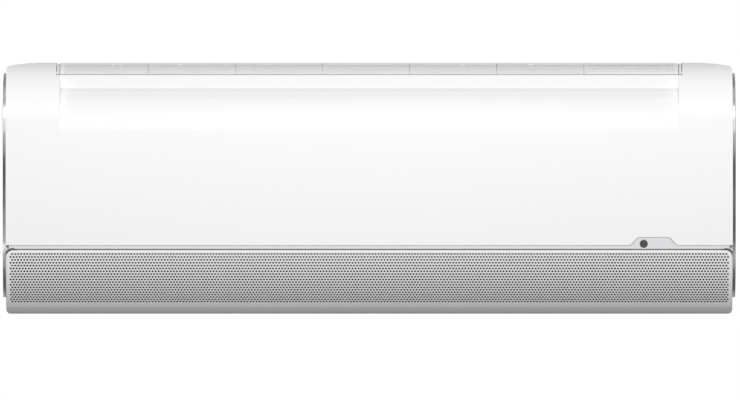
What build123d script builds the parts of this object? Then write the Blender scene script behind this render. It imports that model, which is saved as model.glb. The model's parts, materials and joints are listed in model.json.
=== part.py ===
from build123d import *
import math
import os

# A wall-mounted mini split indoor unit, in millimetres. X runs to the viewer's right, Y towards the
# wall and Z up. The origin is the middle of the wall face, so the unit lies at negative Y.

os.makedirs("parts", exist_ok=True)

# ---- overall size and fits
overall_width = 940
overall_height = 322
overall_depth = 193
trim_thickness = 4
seam = 0.6                  # visible joint between two covers
fit = 0.3                   # loose fit between pieces that do not move
running_fit = 0.15          # radial play of a pin in its hole
pin_seat = 0.05             # radial play of a pin fixed in its hole
casing_wall = 3
half_width = overall_width / 2 - trim_thickness
top_z = overall_height / 2
low_z = -top_z
front_y = -overall_depth
beyond = overall_depth      # a length past every face, for cutting right through

# ---- front line of the casing, in the Y-Z plane
face_radius = 1400          # the face bulges very slightly
face_middle_z = 10
shoulder_drop = 71          # the face turns into the top shoulder this far down
shoulder_z = top_z - shoulder_drop
flap_height = 81.4
flap_top_z = low_z + flap_height
flap_radius = 109
crown_run = 46              # the top line drops over this length at both ends
crown_x = half_width - crown_run
crown_drop = 5
crown_corner = 5

# ---- front panel
panel_rise = 6.1            # from the flap's top edge to the panel's bottom edge
panel_low_z = flap_top_z + panel_rise
panel_return = 12
valley_top_drop = 16        # top edge of the panel in front of the filter
valley_top_z = top_z - valley_top_drop
crease_drop = 33
crease_z = top_z - crease_drop
valley_start_drop = 88
valley_start_z = top_z - valley_start_drop
shoulder_width = 69         # the plain ends of the casing beside the valley
valley_half = half_width - shoulder_width
hinge_setback = 75
hinge_y = front_y + hinge_setback
knuckle_radius = 6
hinge_z = top_z - knuckle_radius
hinge_pin_radius = 2.5
hinge_pin_reach = 2.6

# ---- filter, its cheeks and the inlet grille
cheek_inner_x = valley_half + seam
cheek_thickness = 3.4
cheek_gap = 0.8             # on either side of a cheek
cheek_outer_x = cheek_inner_x + cheek_thickness
shoulder_inner_x = cheek_outer_x + cheek_gap
filter_half = cheek_inner_x - cheek_gap
filter_inset = 1.6
filter_low_z = valley_top_z + seam
filter_rear_y = -22
filter_thickness = 2.4
filter_rib = 2.2
filter_rib_pitch = 111.8
filter_rib_count = 6
filter_end_bay = 113.4
filter_border = 5
net_thickness = 0.5
groove_drop = 4.1
groove_low_z = top_z - groove_drop
groove_height = 2.2
groove_depth = 1.2
filter_tongue = 1.6
filter_tongue_height = 1.8
grille_inset = 5
grille_depth = 6
slat_pitch = 9
slat_thickness = 1.6
grille_rib_pitch = 56
open_bay_slats = 4
open_bay_slat_thickness = 1.0

# ---- display strip
strip_rise = 1.7            # from the flap's top edge to the strip
strip_height = 3.3
strip_low_z = flap_top_z + strip_rise
strip_high_z = strip_low_z + strip_height
strip_end_gap = 4
strip_half = half_width - strip_end_gap
bump_from_end = 101.5
bump_x = half_width - bump_from_end
bump_height = 10.6
bump_half_base = 29
bump_half_top = 19.5
bump_round = 7
lens_offset = 12.7
lens_x = bump_x - lens_offset
lens_rise = 2.8
lens_z = strip_high_z + lens_rise
lens_radius = 5.1
lens_depth = 3

# ---- flap
flap_wall = 3.5
flap_corner_top = 9.5
flap_corner_low = 5
flap_hinge_setback = 60
flap_hinge_rise = 11
flap_hinge_y = front_y + flap_hinge_setback
flap_hinge_z = low_z + flap_hinge_rise
flap_pin_radius = 2
ear_radius = 5
ear_thickness = 4
ear_from_end = 36
ear_end_x = half_width - ear_from_end
ear_mid_x = 145
flap_rib = 2
flap_frame_depth = 1.2

# ---- front frame
frame_rise = 4              # the casing's floor lies this far above the flap's edge
frame_low_z = low_z + frame_rise
frame_inset = 5.2
side_gap_inset = panel_return + seam
frame_wall = 3
end_bay = 30
partition_x = half_width - end_bay
rim_rear_y = -20
rail_setback = 11
rail_thickness = 6
rail_front_y = front_y + rail_setback
rail_rear_y = rail_front_y + rail_thickness
rail_rise = 5.4
rail_height = 17.8
rail_high_z = flap_top_z + rail_rise
rail_low_z = rail_high_z - rail_height
gutter_height = 20
gutter_top_z = low_z + gutter_height
gutter_setback = 79
gutter_rear_y = front_y + gutter_setback
end_floor = 2
screw_from_end = 166
screw_step = half_width - screw_from_end
screw_xs = [-screw_step, 0, screw_step]
screw_drop = 6.4
screw_z = flap_top_z - screw_drop
screw_radius = 1.5
screw_head_radius = 3
screw_head_height = 1.8
screw_length = 6.6
screw_cover_wall = 1

# ---- side trims
trim_outer_inset = 13
trim_inner_inset = 24
trim_rise = 20.6
trim_low_z = low_z + trim_rise
trim_split_rise = 5
trim_edge = 0.8

# ---- outlet duct: s runs out along the air flow and n up across it, both from the tongue
tongue_setback = 54
tongue_height = 13.6        # above the flap's top edge
tongue_y = front_y + tongue_setback
tongue_z = flap_top_z + tongue_height
duct_angle = math.radians(35)
duct_height = 62
sheet = 2.5
left_bay = 46
right_bay = 121             # room for the fan motor and the electrical box
duct_left_x = left_bay - half_width
duct_right_x = half_width - right_bay
duct_floor_length = 44
ceiling_length = 43
scroll_depth = 109          # from the tongue to the back of the scroll
scroll_rear_y = tongue_y + scroll_depth
scroll_radius = 28

# ---- fan
fan_offset = 47             # behind the tongue
fan_rise = 38               # above the tongue
fan_y = tongue_y + fan_offset
fan_z = tongue_z + fan_rise
scroll_rise = 50.5
scroll_top_z = fan_z + scroll_rise
fan_radius = 53
fan_end_gap = 8
fan_left_x = duct_left_x + fan_end_gap
fan_right_x = duct_right_x - fan_end_gap
fan_sections = 5
fan_blades = 35
fan_disc = 2
blade_thickness = 1.2
blade_depth = 13
blade_sweep = math.radians(25)
fan_bore_radius = 30
shaft_radius = 4
motor_radius = 40
motor_gap_x = 9
motor_left_x = duct_right_x + motor_gap_x
motor_length = 44
bearing_radius = 11
bearing_length = 12

# ---- coil
coil_left_gap = 5
coil_right_gap = 7
coil_left_x = duct_left_x + coil_left_gap
coil_right_x = duct_right_x - coil_right_gap
fin_depth = 22
tube_radius = 3.5
tube_pitch = 21
tube_row_gap = 12
tube_margin = 13            # least room from a block's end to its first tube
end_plate = 1.2
bend_reach = 8


# ---- geometry worked out from the sizes above
def on_arc(centre, radius, angle):
    """A point of an arc in the Y-Z plane, with the angle up from straight ahead."""
    return (centre[0] - radius * math.cos(angle), centre[1] + radius * math.sin(angle))


face_centre = (face_radius - overall_depth, face_middle_z)
shoulder_tilt = math.asin((shoulder_z - face_middle_z) / face_radius)
shoulder_radius = (top_z - shoulder_z) / (1 - math.sin(shoulder_tilt))
shoulder_start = on_arc(face_centre, face_radius, shoulder_tilt)
shoulder_centre = (shoulder_start[0] + shoulder_radius * math.cos(shoulder_tilt), top_z - shoulder_radius)
flap_tilt = math.asin((face_middle_z - flap_top_z) / face_radius)
knee = on_arc(face_centre, face_radius, -flap_tilt)
flap_centre = (knee[0] + flap_radius * math.cos(flap_tilt), knee[1] + flap_radius * math.sin(flap_tilt))

band_y = shoulder_centre[0] - math.sqrt(shoulder_radius ** 2 - (valley_top_z - shoulder_centre[1]) ** 2)
valley_tilt = math.asin((valley_start_z - face_middle_z) / face_radius)
valley_start = on_arc(face_centre, face_radius, valley_tilt)
valley_run = (band_y - valley_start[0], crease_z - valley_start[1])
valley_across = valley_run[0] * math.cos(valley_tilt) - valley_run[1] * math.sin(valley_tilt)
valley_radius = (valley_run[0] ** 2 + valley_run[1] ** 2) / (2 * valley_across)
valley_centre = (valley_start[0] + valley_radius * math.cos(valley_tilt),
                 valley_start[1] - valley_radius * math.sin(valley_tilt))
filter_front_y = shoulder_centre[0] - math.sqrt(
    (shoulder_radius - filter_inset) ** 2 - (filter_low_z - shoulder_centre[1]) ** 2)
filter_span = filter_rear_y - filter_front_y
filter_middle_y = (filter_rear_y + filter_front_y) / 2
filter_tongue_z = groove_low_z + groove_height / 2


def arc_line(centre, radius, start_angle, end_angle):
    """An arc of the current line, between two angles up from straight ahead."""
    middle = (start_angle + end_angle) / 2
    return ThreePointArc(on_arc(centre, radius, start_angle), on_arc(centre, radius, middle),
                         on_arc(centre, radius, end_angle))


def casing_section(inset, z_low, y_rear):
    """The region behind the casing's front line moved in by inset, down to z_low, in the Y-Z plane."""
    with BuildSketch() as section:
        with BuildLine():
            Line((y_rear, top_z - inset), (shoulder_centre[0], top_z - inset))
            arc_top = ThreePointArc(
                on_arc(shoulder_centre, shoulder_radius - inset, math.pi / 2),
                on_arc(shoulder_centre, shoulder_radius - inset, (math.pi / 2 + shoulder_tilt) / 2),
                on_arc(shoulder_centre, shoulder_radius - inset, shoulder_tilt))
            face_end = -flap_tilt
            if z_low > flap_top_z:
                face_end = math.asin((z_low - face_middle_z) / (face_radius - inset))
            arc_face = ThreePointArc(
                arc_top @ 1, on_arc(face_centre, face_radius - inset, (shoulder_tilt + face_end) / 2),
                on_arc(face_centre, face_radius - inset, face_end))
            low = arc_face @ 1
            if z_low <= flap_top_z:
                flap_end = math.asin((z_low - flap_centre[1]) / (flap_radius - inset))
                arc_flap = ThreePointArc(
                    arc_face @ 1, on_arc(flap_centre, flap_radius - inset, (flap_end - flap_tilt) / 2),
                    on_arc(flap_centre, flap_radius - inset, flap_end))
                low = arc_flap @ 1
            Line(low, (y_rear, z_low))
            Line((y_rear, z_low), (y_rear, top_z - inset))
        make_face()
    return section.sketch


def front_outline(inset):
    """The casing's front view moved in by inset, with the top line dropping at both ends."""
    right = half_width - inset
    drop_run = half_width - crown_x
    crown_radius = (drop_run ** 2 + crown_drop ** 2) / (2 * crown_drop)
    middle_angle = math.asin(drop_run / crown_radius) / 2
    crown_mid = (crown_x + (crown_radius - inset) * math.sin(middle_angle),
                 top_z - crown_radius + (crown_radius - inset) * math.cos(middle_angle))
    end_z = top_z - crown_radius + math.sqrt((crown_radius - inset) ** 2 - (right - crown_x) ** 2)
    with BuildSketch() as outline:
        with BuildLine():
            Line((-crown_x, top_z - inset), (crown_x, top_z - inset))
            ThreePointArc((crown_x, top_z - inset), crown_mid, (right, end_z))
            Line((right, end_z), (right, -top_z))
            Line((right, -top_z), (-right, -top_z))
            Line((-right, -top_z), (-right, end_z))
            ThreePointArc((-right, end_z), (-crown_mid[0], crown_mid[1]), (-crown_x, top_z - inset))
        make_face()
        corners = outline.vertices().filter_by(lambda v: abs(v.X) > crown_x and v.Y > 0)
        fillet(corners, crown_corner)
    return outline.sketch


def valley_section(inset):
    """What is cut away in front of the crease and the band above it, moved in by inset."""
    radius = valley_radius - inset
    crease_rise = math.sqrt(radius ** 2 - (band_y + inset - valley_centre[0]) ** 2)
    crease_angle = math.asin(crease_rise / radius)
    with BuildSketch() as section:
        with BuildLine():
            arc = ThreePointArc(
                on_arc(valley_centre, radius, valley_tilt),
                on_arc(valley_centre, radius, (valley_tilt + crease_angle) / 2),
                on_arc(valley_centre, radius, crease_angle))
            Polyline(arc @ 1, (band_y + inset, 2 * top_z), (-2 * overall_depth, 2 * top_z),
                     (-2 * overall_depth, valley_centre[1]), (arc @ 0), close=False)
        make_face()
    return section.sketch


def display_outline(clear):
    """The strip under the panel with its display bump, grown by clear, in the front view."""
    bump_top = strip_high_z + bump_height + clear
    foot_z = strip_high_z + clear
    with BuildSketch() as outline:
        with BuildLine():
            Polyline((-strip_half, strip_low_z), (strip_half, strip_low_z), (strip_half, foot_z),
                     (bump_x + bump_half_base + clear, foot_z), (bump_x + bump_half_top + clear, bump_top),
                     (bump_x - bump_half_top - clear, bump_top), (bump_x - bump_half_base - clear, foot_z),
                     (-strip_half, foot_z), close=True)
        make_face()
        bends = outline.vertices().filter_by(
            lambda v: abs(v.X - bump_x) < bump_half_base + 2 * clear + seam and v.Y > strip_low_z + seam)
        fillet(bends, bump_round)
    return outline.sketch


def lower_section(inset):
    """The casing region behind the flap, moved in by inset."""
    with BuildSketch() as section:
        add(casing_section(inset, frame_low_z, 0))
        with Locations((-beyond, flap_top_z)):
            Rectangle(2 * beyond, 2 * top_z, align=(Align.MIN, Align.MIN), mode=Mode.SUBTRACT)
    return section.sketch


def span(y_low, y_high, z_low, z_high):
    """A rectangle given by its sides, in the Y-Z plane."""
    with BuildSketch() as rectangle:
        with Locations(((y_low + y_high) / 2, (z_low + z_high) / 2)):
            Rectangle(y_high - y_low, z_high - z_low)
    return rectangle.sketch


def top_section(inset, z_low, y_rear):
    """The casing region above z_low, moved in by inset."""
    with BuildSketch() as section:
        add(casing_section(inset, 0, y_rear))
        add(span(-beyond, 0, 0, z_low), mode=Mode.SUBTRACT)
    return section.sketch


def top_shell(outer, inner, z_low, y_rear):
    """A sheet over the top and its front curve, between two distances in from the casing line."""
    with BuildSketch() as section:
        add(top_section(outer, z_low, y_rear))
        add(top_section(inner, 0, y_rear), mode=Mode.SUBTRACT)
    return section.sketch


# ================================================================ front panel
with BuildPart() as panel_core:
    with BuildSketch(Plane.YZ.offset(casing_wall - half_width)):
        add(casing_section(casing_wall, panel_low_z + casing_wall, 0))
    extrude(amount=2 * (half_width - casing_wall))
    with BuildSketch(Plane.YZ.offset(-valley_half - casing_wall)):
        add(valley_section(casing_wall))
    extrude(amount=2 * (valley_half + casing_wall), mode=Mode.SUBTRACT)
    with BuildSketch(Plane.XZ.offset(-beyond)):
        add(front_outline(casing_wall))
    extrude(amount=3 * beyond, mode=Mode.INTERSECT)

with BuildPart() as front_panel:
    with BuildSketch(Plane.YZ.offset(-half_width)):
        add(casing_section(0, panel_low_z, 0))
    extrude(amount=2 * half_width)
    with BuildSketch(Plane.YZ.offset(-valley_half)):
        add(valley_section(0))
    extrude(amount=2 * valley_half, mode=Mode.SUBTRACT)
    add(panel_core.part, mode=Mode.SUBTRACT)
    with BuildSketch(Plane.YZ.offset(-shoulder_inner_x)):
        add(span(-beyond - casing_wall, 0, valley_top_z, 2 * top_z))
    extrude(amount=2 * shoulder_inner_x, mode=Mode.SUBTRACT)
    with BuildSketch(Plane.YZ.offset(-half_width), Plane.YZ.offset(half_width - casing_wall)):
        add(casing_section(panel_return, panel_low_z - seam, 0))
    extrude(amount=casing_wall, mode=Mode.SUBTRACT)
    with BuildSketch(Plane.YZ.offset(-half_width)):
        add(span(knee[0] + panel_return, 0, panel_low_z - seam, panel_low_z + 2 * casing_wall))
        add(span(hinge_y, 0, panel_low_z - seam, 2 * top_z))
    extrude(amount=2 * half_width, mode=Mode.SUBTRACT)
    with BuildSketch(Plane.YZ.offset(-half_width), Plane.YZ.offset(shoulder_inner_x)):
        with Locations((hinge_y, hinge_z)):
            Circle(knuckle_radius)
    extrude(amount=half_width - shoulder_inner_x)
    with BuildSketch(Plane.XZ.offset(-beyond)):
        add(front_outline(0))
    extrude(amount=3 * beyond, mode=Mode.INTERSECT)
    with BuildSketch(Plane.YZ.offset(-shoulder_inner_x - casing_wall),
                     Plane.YZ.offset(shoulder_inner_x - hinge_pin_reach)):
        with Locations((hinge_y, hinge_z)):
            Circle(hinge_pin_radius)
    extrude(amount=casing_wall + hinge_pin_reach)
    with BuildSketch(Plane.XZ.offset(-rail_rear_y)):
        add(display_outline(seam + fit))
    extrude(amount=beyond, mode=Mode.SUBTRACT)
front_panel.part.label = "front_panel"
export_step(front_panel.part, "parts/front_panel.step")

# ================================================================ front frame
frame_top_front_y = hinge_y + knuckle_radius + seam
roof_length = 28
roof_rear_y = gutter_rear_y - roof_length


def gutter_roof():
    """The ledge from behind the flap back to the duct floor, over the flap's hinge."""
    with BuildSketch() as roof:
        add(lower_section(frame_inset))
        add(span(-beyond, 0, gutter_top_z + frame_wall, 0), mode=Mode.SUBTRACT)
        add(span(-beyond, 0, -top_z, gutter_top_z), mode=Mode.SUBTRACT)
        add(span(roof_rear_y, 0, -top_z, 0), mode=Mode.SUBTRACT)
    return roof.sketch


with BuildPart() as frame_top:
    with BuildSketch(Plane.XZ):
        add(front_outline(0))
        add(front_outline(frame_wall), mode=Mode.SUBTRACT)
        with Locations((0, -top_z)):
            Rectangle(2 * beyond + overall_width, 2 * top_z + shoulder_z, mode=Mode.SUBTRACT)
    extrude(amount=-frame_top_front_y)
    with BuildSketch(Plane.XY.offset(shoulder_z)):
        with Locations((0, (rim_rear_y - beyond) / 2)):
            Rectangle(2 * cheek_inner_x, beyond + rim_rear_y)
    extrude(amount=top_z, mode=Mode.SUBTRACT)

with BuildPart() as front_frame:
    with BuildSketch(Plane.YZ.offset(-half_width), Plane.YZ.offset(half_width - frame_wall)):
        add(casing_section(side_gap_inset, frame_low_z, 0))
        add(lower_section(frame_inset))
        add(span(frame_top_front_y, 0, frame_low_z, top_z))
    extrude(amount=frame_wall)
    with BuildSketch(Plane.XZ.offset(-beyond)):
        add(front_outline(0))
    extrude(amount=3 * beyond, mode=Mode.INTERSECT)
    add(frame_top.part)
    with BuildSketch(Plane.YZ.offset(-cheek_outer_x), Plane.YZ.offset(cheek_inner_x)):
        add(top_section(filter_inset, filter_low_z, rim_rear_y))
        add(span(shoulder_centre[0], rim_rear_y, filter_low_z, top_z))
    extrude(amount=cheek_thickness)
    with BuildSketch(Plane.YZ.offset(-cheek_inner_x - groove_depth), Plane.YZ.offset(cheek_inner_x)):
        add(span(-beyond, rim_rear_y, groove_low_z, groove_low_z + groove_height))
        add(span(-beyond, shoulder_centre[0], groove_low_z, 2 * top_z))
    extrude(amount=groove_depth, mode=Mode.SUBTRACT)
    with BuildSketch(Plane.YZ.offset(-half_width), Plane.YZ.offset(-duct_left_x + frame_wall)):
        add(lower_section(frame_inset))
        add(lower_section(frame_inset + frame_wall), mode=Mode.SUBTRACT)
    extrude(amount=half_width + duct_left_x - frame_wall)
    with BuildSketch(Plane.YZ.offset(duct_right_x + frame_wall)):
        add(lower_section(frame_inset))
        add(lower_section(frame_inset + frame_wall), mode=Mode.SUBTRACT)
    extrude(amount=-duct_left_x - duct_right_x)
    with BuildSketch(Plane.YZ.offset(-partition_x)):
        add(span(-beyond, gutter_rear_y, frame_low_z, gutter_top_z))
    extrude(amount=2 * partition_x, mode=Mode.SUBTRACT)
    with BuildSketch(Plane.YZ.offset(-partition_x - frame_wall), Plane.YZ.offset(partition_x)):
        add(lower_section(frame_inset))
        add(span(gutter_rear_y, 0, frame_low_z, 0), mode=Mode.SUBTRACT)
    extrude(amount=frame_wall)
    with BuildSketch(Plane.YZ.offset(-half_width), Plane.YZ.offset(partition_x)):
        add(lower_section(frame_inset))
        add(span(-beyond, 0, frame_low_z + end_floor, 0), mode=Mode.SUBTRACT)
        add(span(gutter_rear_y, 0, frame_low_z, 0), mode=Mode.SUBTRACT)
    extrude(amount=half_width - partition_x)
    with BuildSketch(Plane.YZ.offset(-partition_x)):
        add(gutter_roof())
    extrude(amount=partition_x + duct_left_x - frame_wall)
    with BuildSketch(Plane.YZ.offset(duct_right_x + frame_wall)):
        add(gutter_roof())
    extrude(amount=partition_x - duct_right_x - frame_wall)
    with BuildSketch(Plane.YZ.offset(-half_width)):
        add(span(rail_front_y, rail_rear_y, rail_low_z, rail_high_z))
    extrude(amount=2 * half_width)
    with BuildSketch(Plane.XZ.offset(-rail_front_y)):
        with Locations(*[(x, screw_z) for x in screw_xs]):
            Circle(screw_radius + pin_seat)
    extrude(amount=rail_front_y - rail_rear_y, mode=Mode.SUBTRACT)
    with BuildSketch(Plane.YZ.offset(-half_width)):
        with Locations((hinge_y, hinge_z)):
            Circle(hinge_pin_radius + running_fit)
    extrude(amount=2 * half_width, mode=Mode.SUBTRACT)
    with BuildSketch(Plane.YZ.offset(-half_width + frame_wall)):
        with Locations((flap_hinge_y, flap_hinge_z)):
            Circle(flap_pin_radius + running_fit)
    extrude(amount=2 * (half_width - frame_wall), mode=Mode.SUBTRACT)
front_frame.part.label = "front_frame"
export_step(front_frame.part, "parts/front_frame.step")

# ================================================================ inlet grille
grille_low_z = filter_low_z + grille_inset / 2
grille_front_y = shoulder_centre[0] - math.sqrt(
    (shoulder_radius - grille_inset) ** 2 - (grille_low_z - shoulder_centre[1]) ** 2)
grille_rear_y = rim_rear_y - seam
grille_span = grille_rear_y - grille_front_y
grille_middle_y = (grille_rear_y + grille_front_y) / 2

with BuildPart() as inlet_grille:
    with BuildSketch(Plane.XY.offset(shoulder_z)):
        with Locations((0, grille_middle_y)):
            Rectangle(2 * (cheek_inner_x - fit), grille_span)
            Rectangle(2 * (cheek_inner_x - filter_border), grille_span - 2 * filter_border,
                      mode=Mode.SUBTRACT)
            with GridLocations(0, slat_pitch, 1, int(grille_span / slat_pitch)):
                Rectangle(2 * (cheek_inner_x - fit), slat_thickness)
            with GridLocations(grille_rib_pitch, 0, int(2 * cheek_inner_x / grille_rib_pitch), 1):
                Rectangle(slat_thickness, grille_span)
    extrude(amount=top_z)
    with BuildSketch(Plane.YZ.offset(-cheek_inner_x)):
        add(top_shell(grille_inset, grille_inset + grille_depth, grille_low_z, grille_rear_y))
    extrude(amount=2 * cheek_inner_x, mode=Mode.INTERSECT)
inlet_grille.part.label = "inlet_grille"
export_step(inlet_grille.part, "parts/inlet_grille.step")

# ================================================================ filter
rib_xs = [filter_end_bay - filter_half + n * filter_rib_pitch for n in range(filter_rib_count)]
open_bay_x = rib_xs[-1]
cross_rib_ys = [filter_front_y + filter_span * share for share in (1 / 3, 2 / 3)]
strip_rear_y = cross_rib_ys[0]


def filter_bars():
    """The border and ribs of the filter frame, seen from above."""
    with BuildSketch() as bars:
        with Locations((0, filter_middle_y)):
            Rectangle(2 * filter_half, filter_span)
            Rectangle(2 * (filter_half - filter_border), filter_span - 2 * filter_rib, mode=Mode.SUBTRACT)
        with Locations(*[(x, filter_middle_y) for x in rib_xs]):
            Rectangle(filter_rib, filter_span)
        with Locations(*[(0, y) for y in cross_rib_ys]):
            Rectangle(2 * filter_half, filter_rib)
    return bars.sketch


with BuildPart() as filter_frame:
    with BuildSketch(Plane.XY.offset(shoulder_z)):
        add(filter_bars())
    extrude(amount=top_z)
    with BuildSketch(Plane.XZ.offset(-strip_rear_y)):
        bay_height = top_z - filter_inset - filter_low_z
        with Locations(((open_bay_x + filter_half) / 2, filter_low_z + bay_height / 2)):
            with GridLocations(0, bay_height / open_bay_slats, 1, open_bay_slats):
                Rectangle(filter_half - open_bay_x, open_bay_slat_thickness)
    extrude(amount=beyond)
    with BuildSketch(Plane.YZ.offset(-filter_half)):
        add(top_shell(filter_inset, filter_inset + filter_thickness, filter_low_z, filter_rear_y))
    extrude(amount=2 * filter_half, mode=Mode.INTERSECT)
    with BuildSketch(Plane.YZ.offset(-filter_half - filter_tongue), Plane.YZ.offset(filter_half)):
        add(span(shoulder_centre[0], filter_rear_y - fit, filter_tongue_z - filter_tongue_height / 2,
                 filter_tongue_z + filter_tongue_height / 2))
    extrude(amount=filter_tongue)
filter_frame.part.label = "filter_frame"
export_step(filter_frame.part, "parts/filter_frame.step")

with BuildPart() as filter_net:
    with BuildSketch(Plane.XY.offset(shoulder_z)):
        with Locations((0, filter_middle_y)):
            Rectangle(2 * filter_half, filter_span)
        add(filter_bars(), mode=Mode.SUBTRACT)
        with Locations(((open_bay_x + filter_half) / 2, strip_rear_y - filter_span / 2)):
            Rectangle(filter_half - open_bay_x, filter_span, mode=Mode.SUBTRACT)
    extrude(amount=top_z)
    net_inset = filter_inset + (filter_thickness - net_thickness) / 2
    with BuildSketch(Plane.YZ.offset(-filter_half)):
        add(top_shell(net_inset, net_inset + net_thickness, filter_low_z, filter_rear_y))
    extrude(amount=2 * filter_half, mode=Mode.INTERSECT)
filter_net.part.label = "filter_net"
export_step(filter_net.part, "parts/filter_net.step")

# ================================================================ display strip and lens
with BuildPart() as display_strip:
    with BuildSketch(Plane.XZ.offset(-rail_front_y + fit)):
        add(display_outline(0))
    extrude(amount=beyond)
    with BuildSketch(Plane.YZ.offset(-half_width)):
        add(casing_section(fit, frame_low_z, 0))
    extrude(amount=2 * half_width, mode=Mode.INTERSECT)
    with BuildSketch(Plane.XZ.offset(overall_depth - lens_depth)):
        with Locations((lens_x, lens_z)):
            Circle(lens_radius + running_fit)
    extrude(amount=beyond, mode=Mode.SUBTRACT)
display_strip.part.label = "display_strip"
export_step(display_strip.part, "parts/display_strip.step")

with BuildPart() as receiver_lens:
    with BuildSketch(Plane.XZ.offset(overall_depth - lens_depth)):
        with Locations((lens_x, lens_z)):
            Circle(lens_radius)
    extrude(amount=lens_depth)
    with BuildSketch(Plane.YZ.offset(-half_width)):
        add(casing_section(0, frame_low_z, 0))
    extrude(amount=2 * half_width, mode=Mode.INTERSECT)
receiver_lens.part.label = "receiver_lens"
export_step(receiver_lens.part, "parts/receiver_lens.step")

# ================================================================ side trims
trim_length = 73
trim_rear_y = front_y + trim_length


def trim_band(upper):
    """One trim in the side view: the band above or below a slanted split."""
    side = 1 if upper else -1
    with BuildSketch() as band:
        add(casing_section(trim_outer_inset, frame_low_z, 0))
        add(casing_section(trim_inner_inset, frame_low_z, 0), mode=Mode.SUBTRACT)
        add(span(trim_rear_y, 0, -top_z, top_z), mode=Mode.SUBTRACT)
        add(span(-beyond, 0, 2 * -top_z, trim_low_z), mode=Mode.SUBTRACT)
        trim_knee = on_arc(face_centre, face_radius - trim_outer_inset, -flap_tilt)
        split_low = trim_knee[1] + side * fit
        split_high = split_low + trim_split_rise
        band_front_y = knee[0] + trim_outer_inset
        band_rear_y = knee[0] + trim_inner_inset
        slope = (split_high - split_low) / (band_rear_y - band_front_y)
        far_rear_z = split_high + slope * (trim_rear_y - band_rear_y)
        far_front_z = split_low - slope * (band_front_y + beyond)
        with BuildLine():
            Polyline((-beyond, far_front_z), (trim_rear_y, far_rear_z),
                     (trim_rear_y, -side * 2 * top_z), (-beyond, -side * 2 * top_z), close=True)
        make_face(mode=Mode.SUBTRACT)
    return band.sketch


for upper, level in ((True, "upper"), (False, "lower")):
    for side, hand in ((-1, "left"), (1, "right")):
        name = f"side_trim_{level}_{hand}"
        with BuildPart() as side_trim:
            with BuildSketch(Plane.YZ.offset(side * half_width)):
                add(trim_band(upper))
            extrude(amount=side * trim_thickness)
            chamfer(side_trim.faces().sort_by(Axis.X)[0 if side < 0 else -1].edges(), trim_edge)
        side_trim.part.label = name
        export_step(side_trim.part, f"parts/{name}.step")

# ================================================================ flap
flap_low_angle = math.asin((low_z - flap_centre[1]) / flap_radius)
flap_inner_radius = flap_radius - flap_wall
edge_spare = 4 / flap_radius    # the curved strip runs on past the outline that trims it


def flap_band(outer_radius, inner_radius, start_angle, end_angle):
    """A curved strip of the flap in the side view."""
    with BuildSketch() as band:
        with BuildLine():
            outer = arc_line(flap_centre, outer_radius, start_angle, end_angle)
            inner = arc_line(flap_centre, inner_radius, start_angle, end_angle)
            Line(outer @ 0, inner @ 0)
            Line(outer @ 1, inner @ 1)
        make_face()
    return band.sketch


with BuildPart() as flap:
    with BuildSketch(Plane.YZ.offset(-half_width)):
        add(flap_band(flap_radius, flap_inner_radius, edge_spare - flap_tilt, flap_low_angle - edge_spare))
    extrude(amount=2 * half_width)
    with BuildSketch(Plane.XZ.offset(-beyond)) as flap_outline:
        with Locations((0, low_z + flap_height / 2)):
            Rectangle(2 * half_width, flap_height)
        fillet(flap_outline.vertices().group_by(Axis.Y)[-1], flap_corner_top)
        fillet(flap_outline.vertices().group_by(Axis.Y)[0], flap_corner_low)
    extrude(amount=3 * beyond, mode=Mode.INTERSECT)
flap.part.label = "flap"
export_step(flap.part, "parts/flap.step")

# ================================================================ flap frame and pins
ear_xs = [-ear_end_x, -ear_mid_x, ear_mid_x, ear_end_x]
ear_top_angle = -math.radians(47)
ear_low_angle = -math.radians(53)
lip_band = 14               # height of the solid lip under the holes
top_strip_drop = 13         # the upper strip stays below the screw covers
outer_rib_from_end = 91
outer_rib_x = half_width - outer_rib_from_end
inner_rib_x = 260
flap_rib_xs = [-outer_rib_x, -inner_rib_x, 0, inner_rib_x, outer_rib_x]
strip_angle = lip_band / flap_radius
strip_top_angle = -flap_tilt - top_strip_drop / flap_radius
flap_seat_radius = flap_inner_radius - fit
flap_frame_radius = flap_seat_radius - flap_frame_depth

with BuildPart() as flap_frame:
    with BuildSketch(*[Plane.YZ.offset(x - flap_rib / 2) for x in flap_rib_xs]):
        add(flap_band(flap_seat_radius, flap_frame_radius, strip_top_angle - strip_angle,
                      ear_low_angle + strip_angle))
    extrude(amount=flap_rib)
    with BuildSketch(Plane.YZ.offset(-ear_end_x)):
        add(flap_band(flap_seat_radius, flap_frame_radius, ear_low_angle + strip_angle, ear_low_angle))
        add(flap_band(flap_seat_radius, flap_frame_radius, strip_top_angle,
                      strip_top_angle - strip_angle))
    extrude(amount=2 * ear_end_x)
    with BuildSketch(*[Plane.YZ.offset(x - ear_thickness / 2) for x in ear_xs]):
        with BuildLine():
            Polyline(on_arc(flap_centre, flap_seat_radius, ear_top_angle),
                     on_arc(flap_centre, flap_seat_radius, ear_low_angle),
                     (flap_hinge_y + ear_radius / 2, flap_hinge_z - ear_radius * math.sqrt(3) / 2),
                     (flap_hinge_y, flap_hinge_z + ear_radius), close=True)
        make_face()
        with Locations((flap_hinge_y, flap_hinge_z)):
            Circle(ear_radius)
            Circle(flap_pin_radius + pin_seat, mode=Mode.SUBTRACT)
    extrude(amount=ear_thickness)
flap_frame.part.label = "flap_frame"
export_step(flap_frame.part, "parts/flap_frame.step")

pin_start_x = ear_end_x - ear_thickness
lug_thickness = 3
lug_gap = 0.5
mid_lug_x = ear_mid_x + ear_thickness / 2 + lug_gap
mid_pin_low_x = ear_mid_x - ear_thickness
mid_pin_high_x = mid_lug_x + lug_thickness + lug_gap

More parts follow.
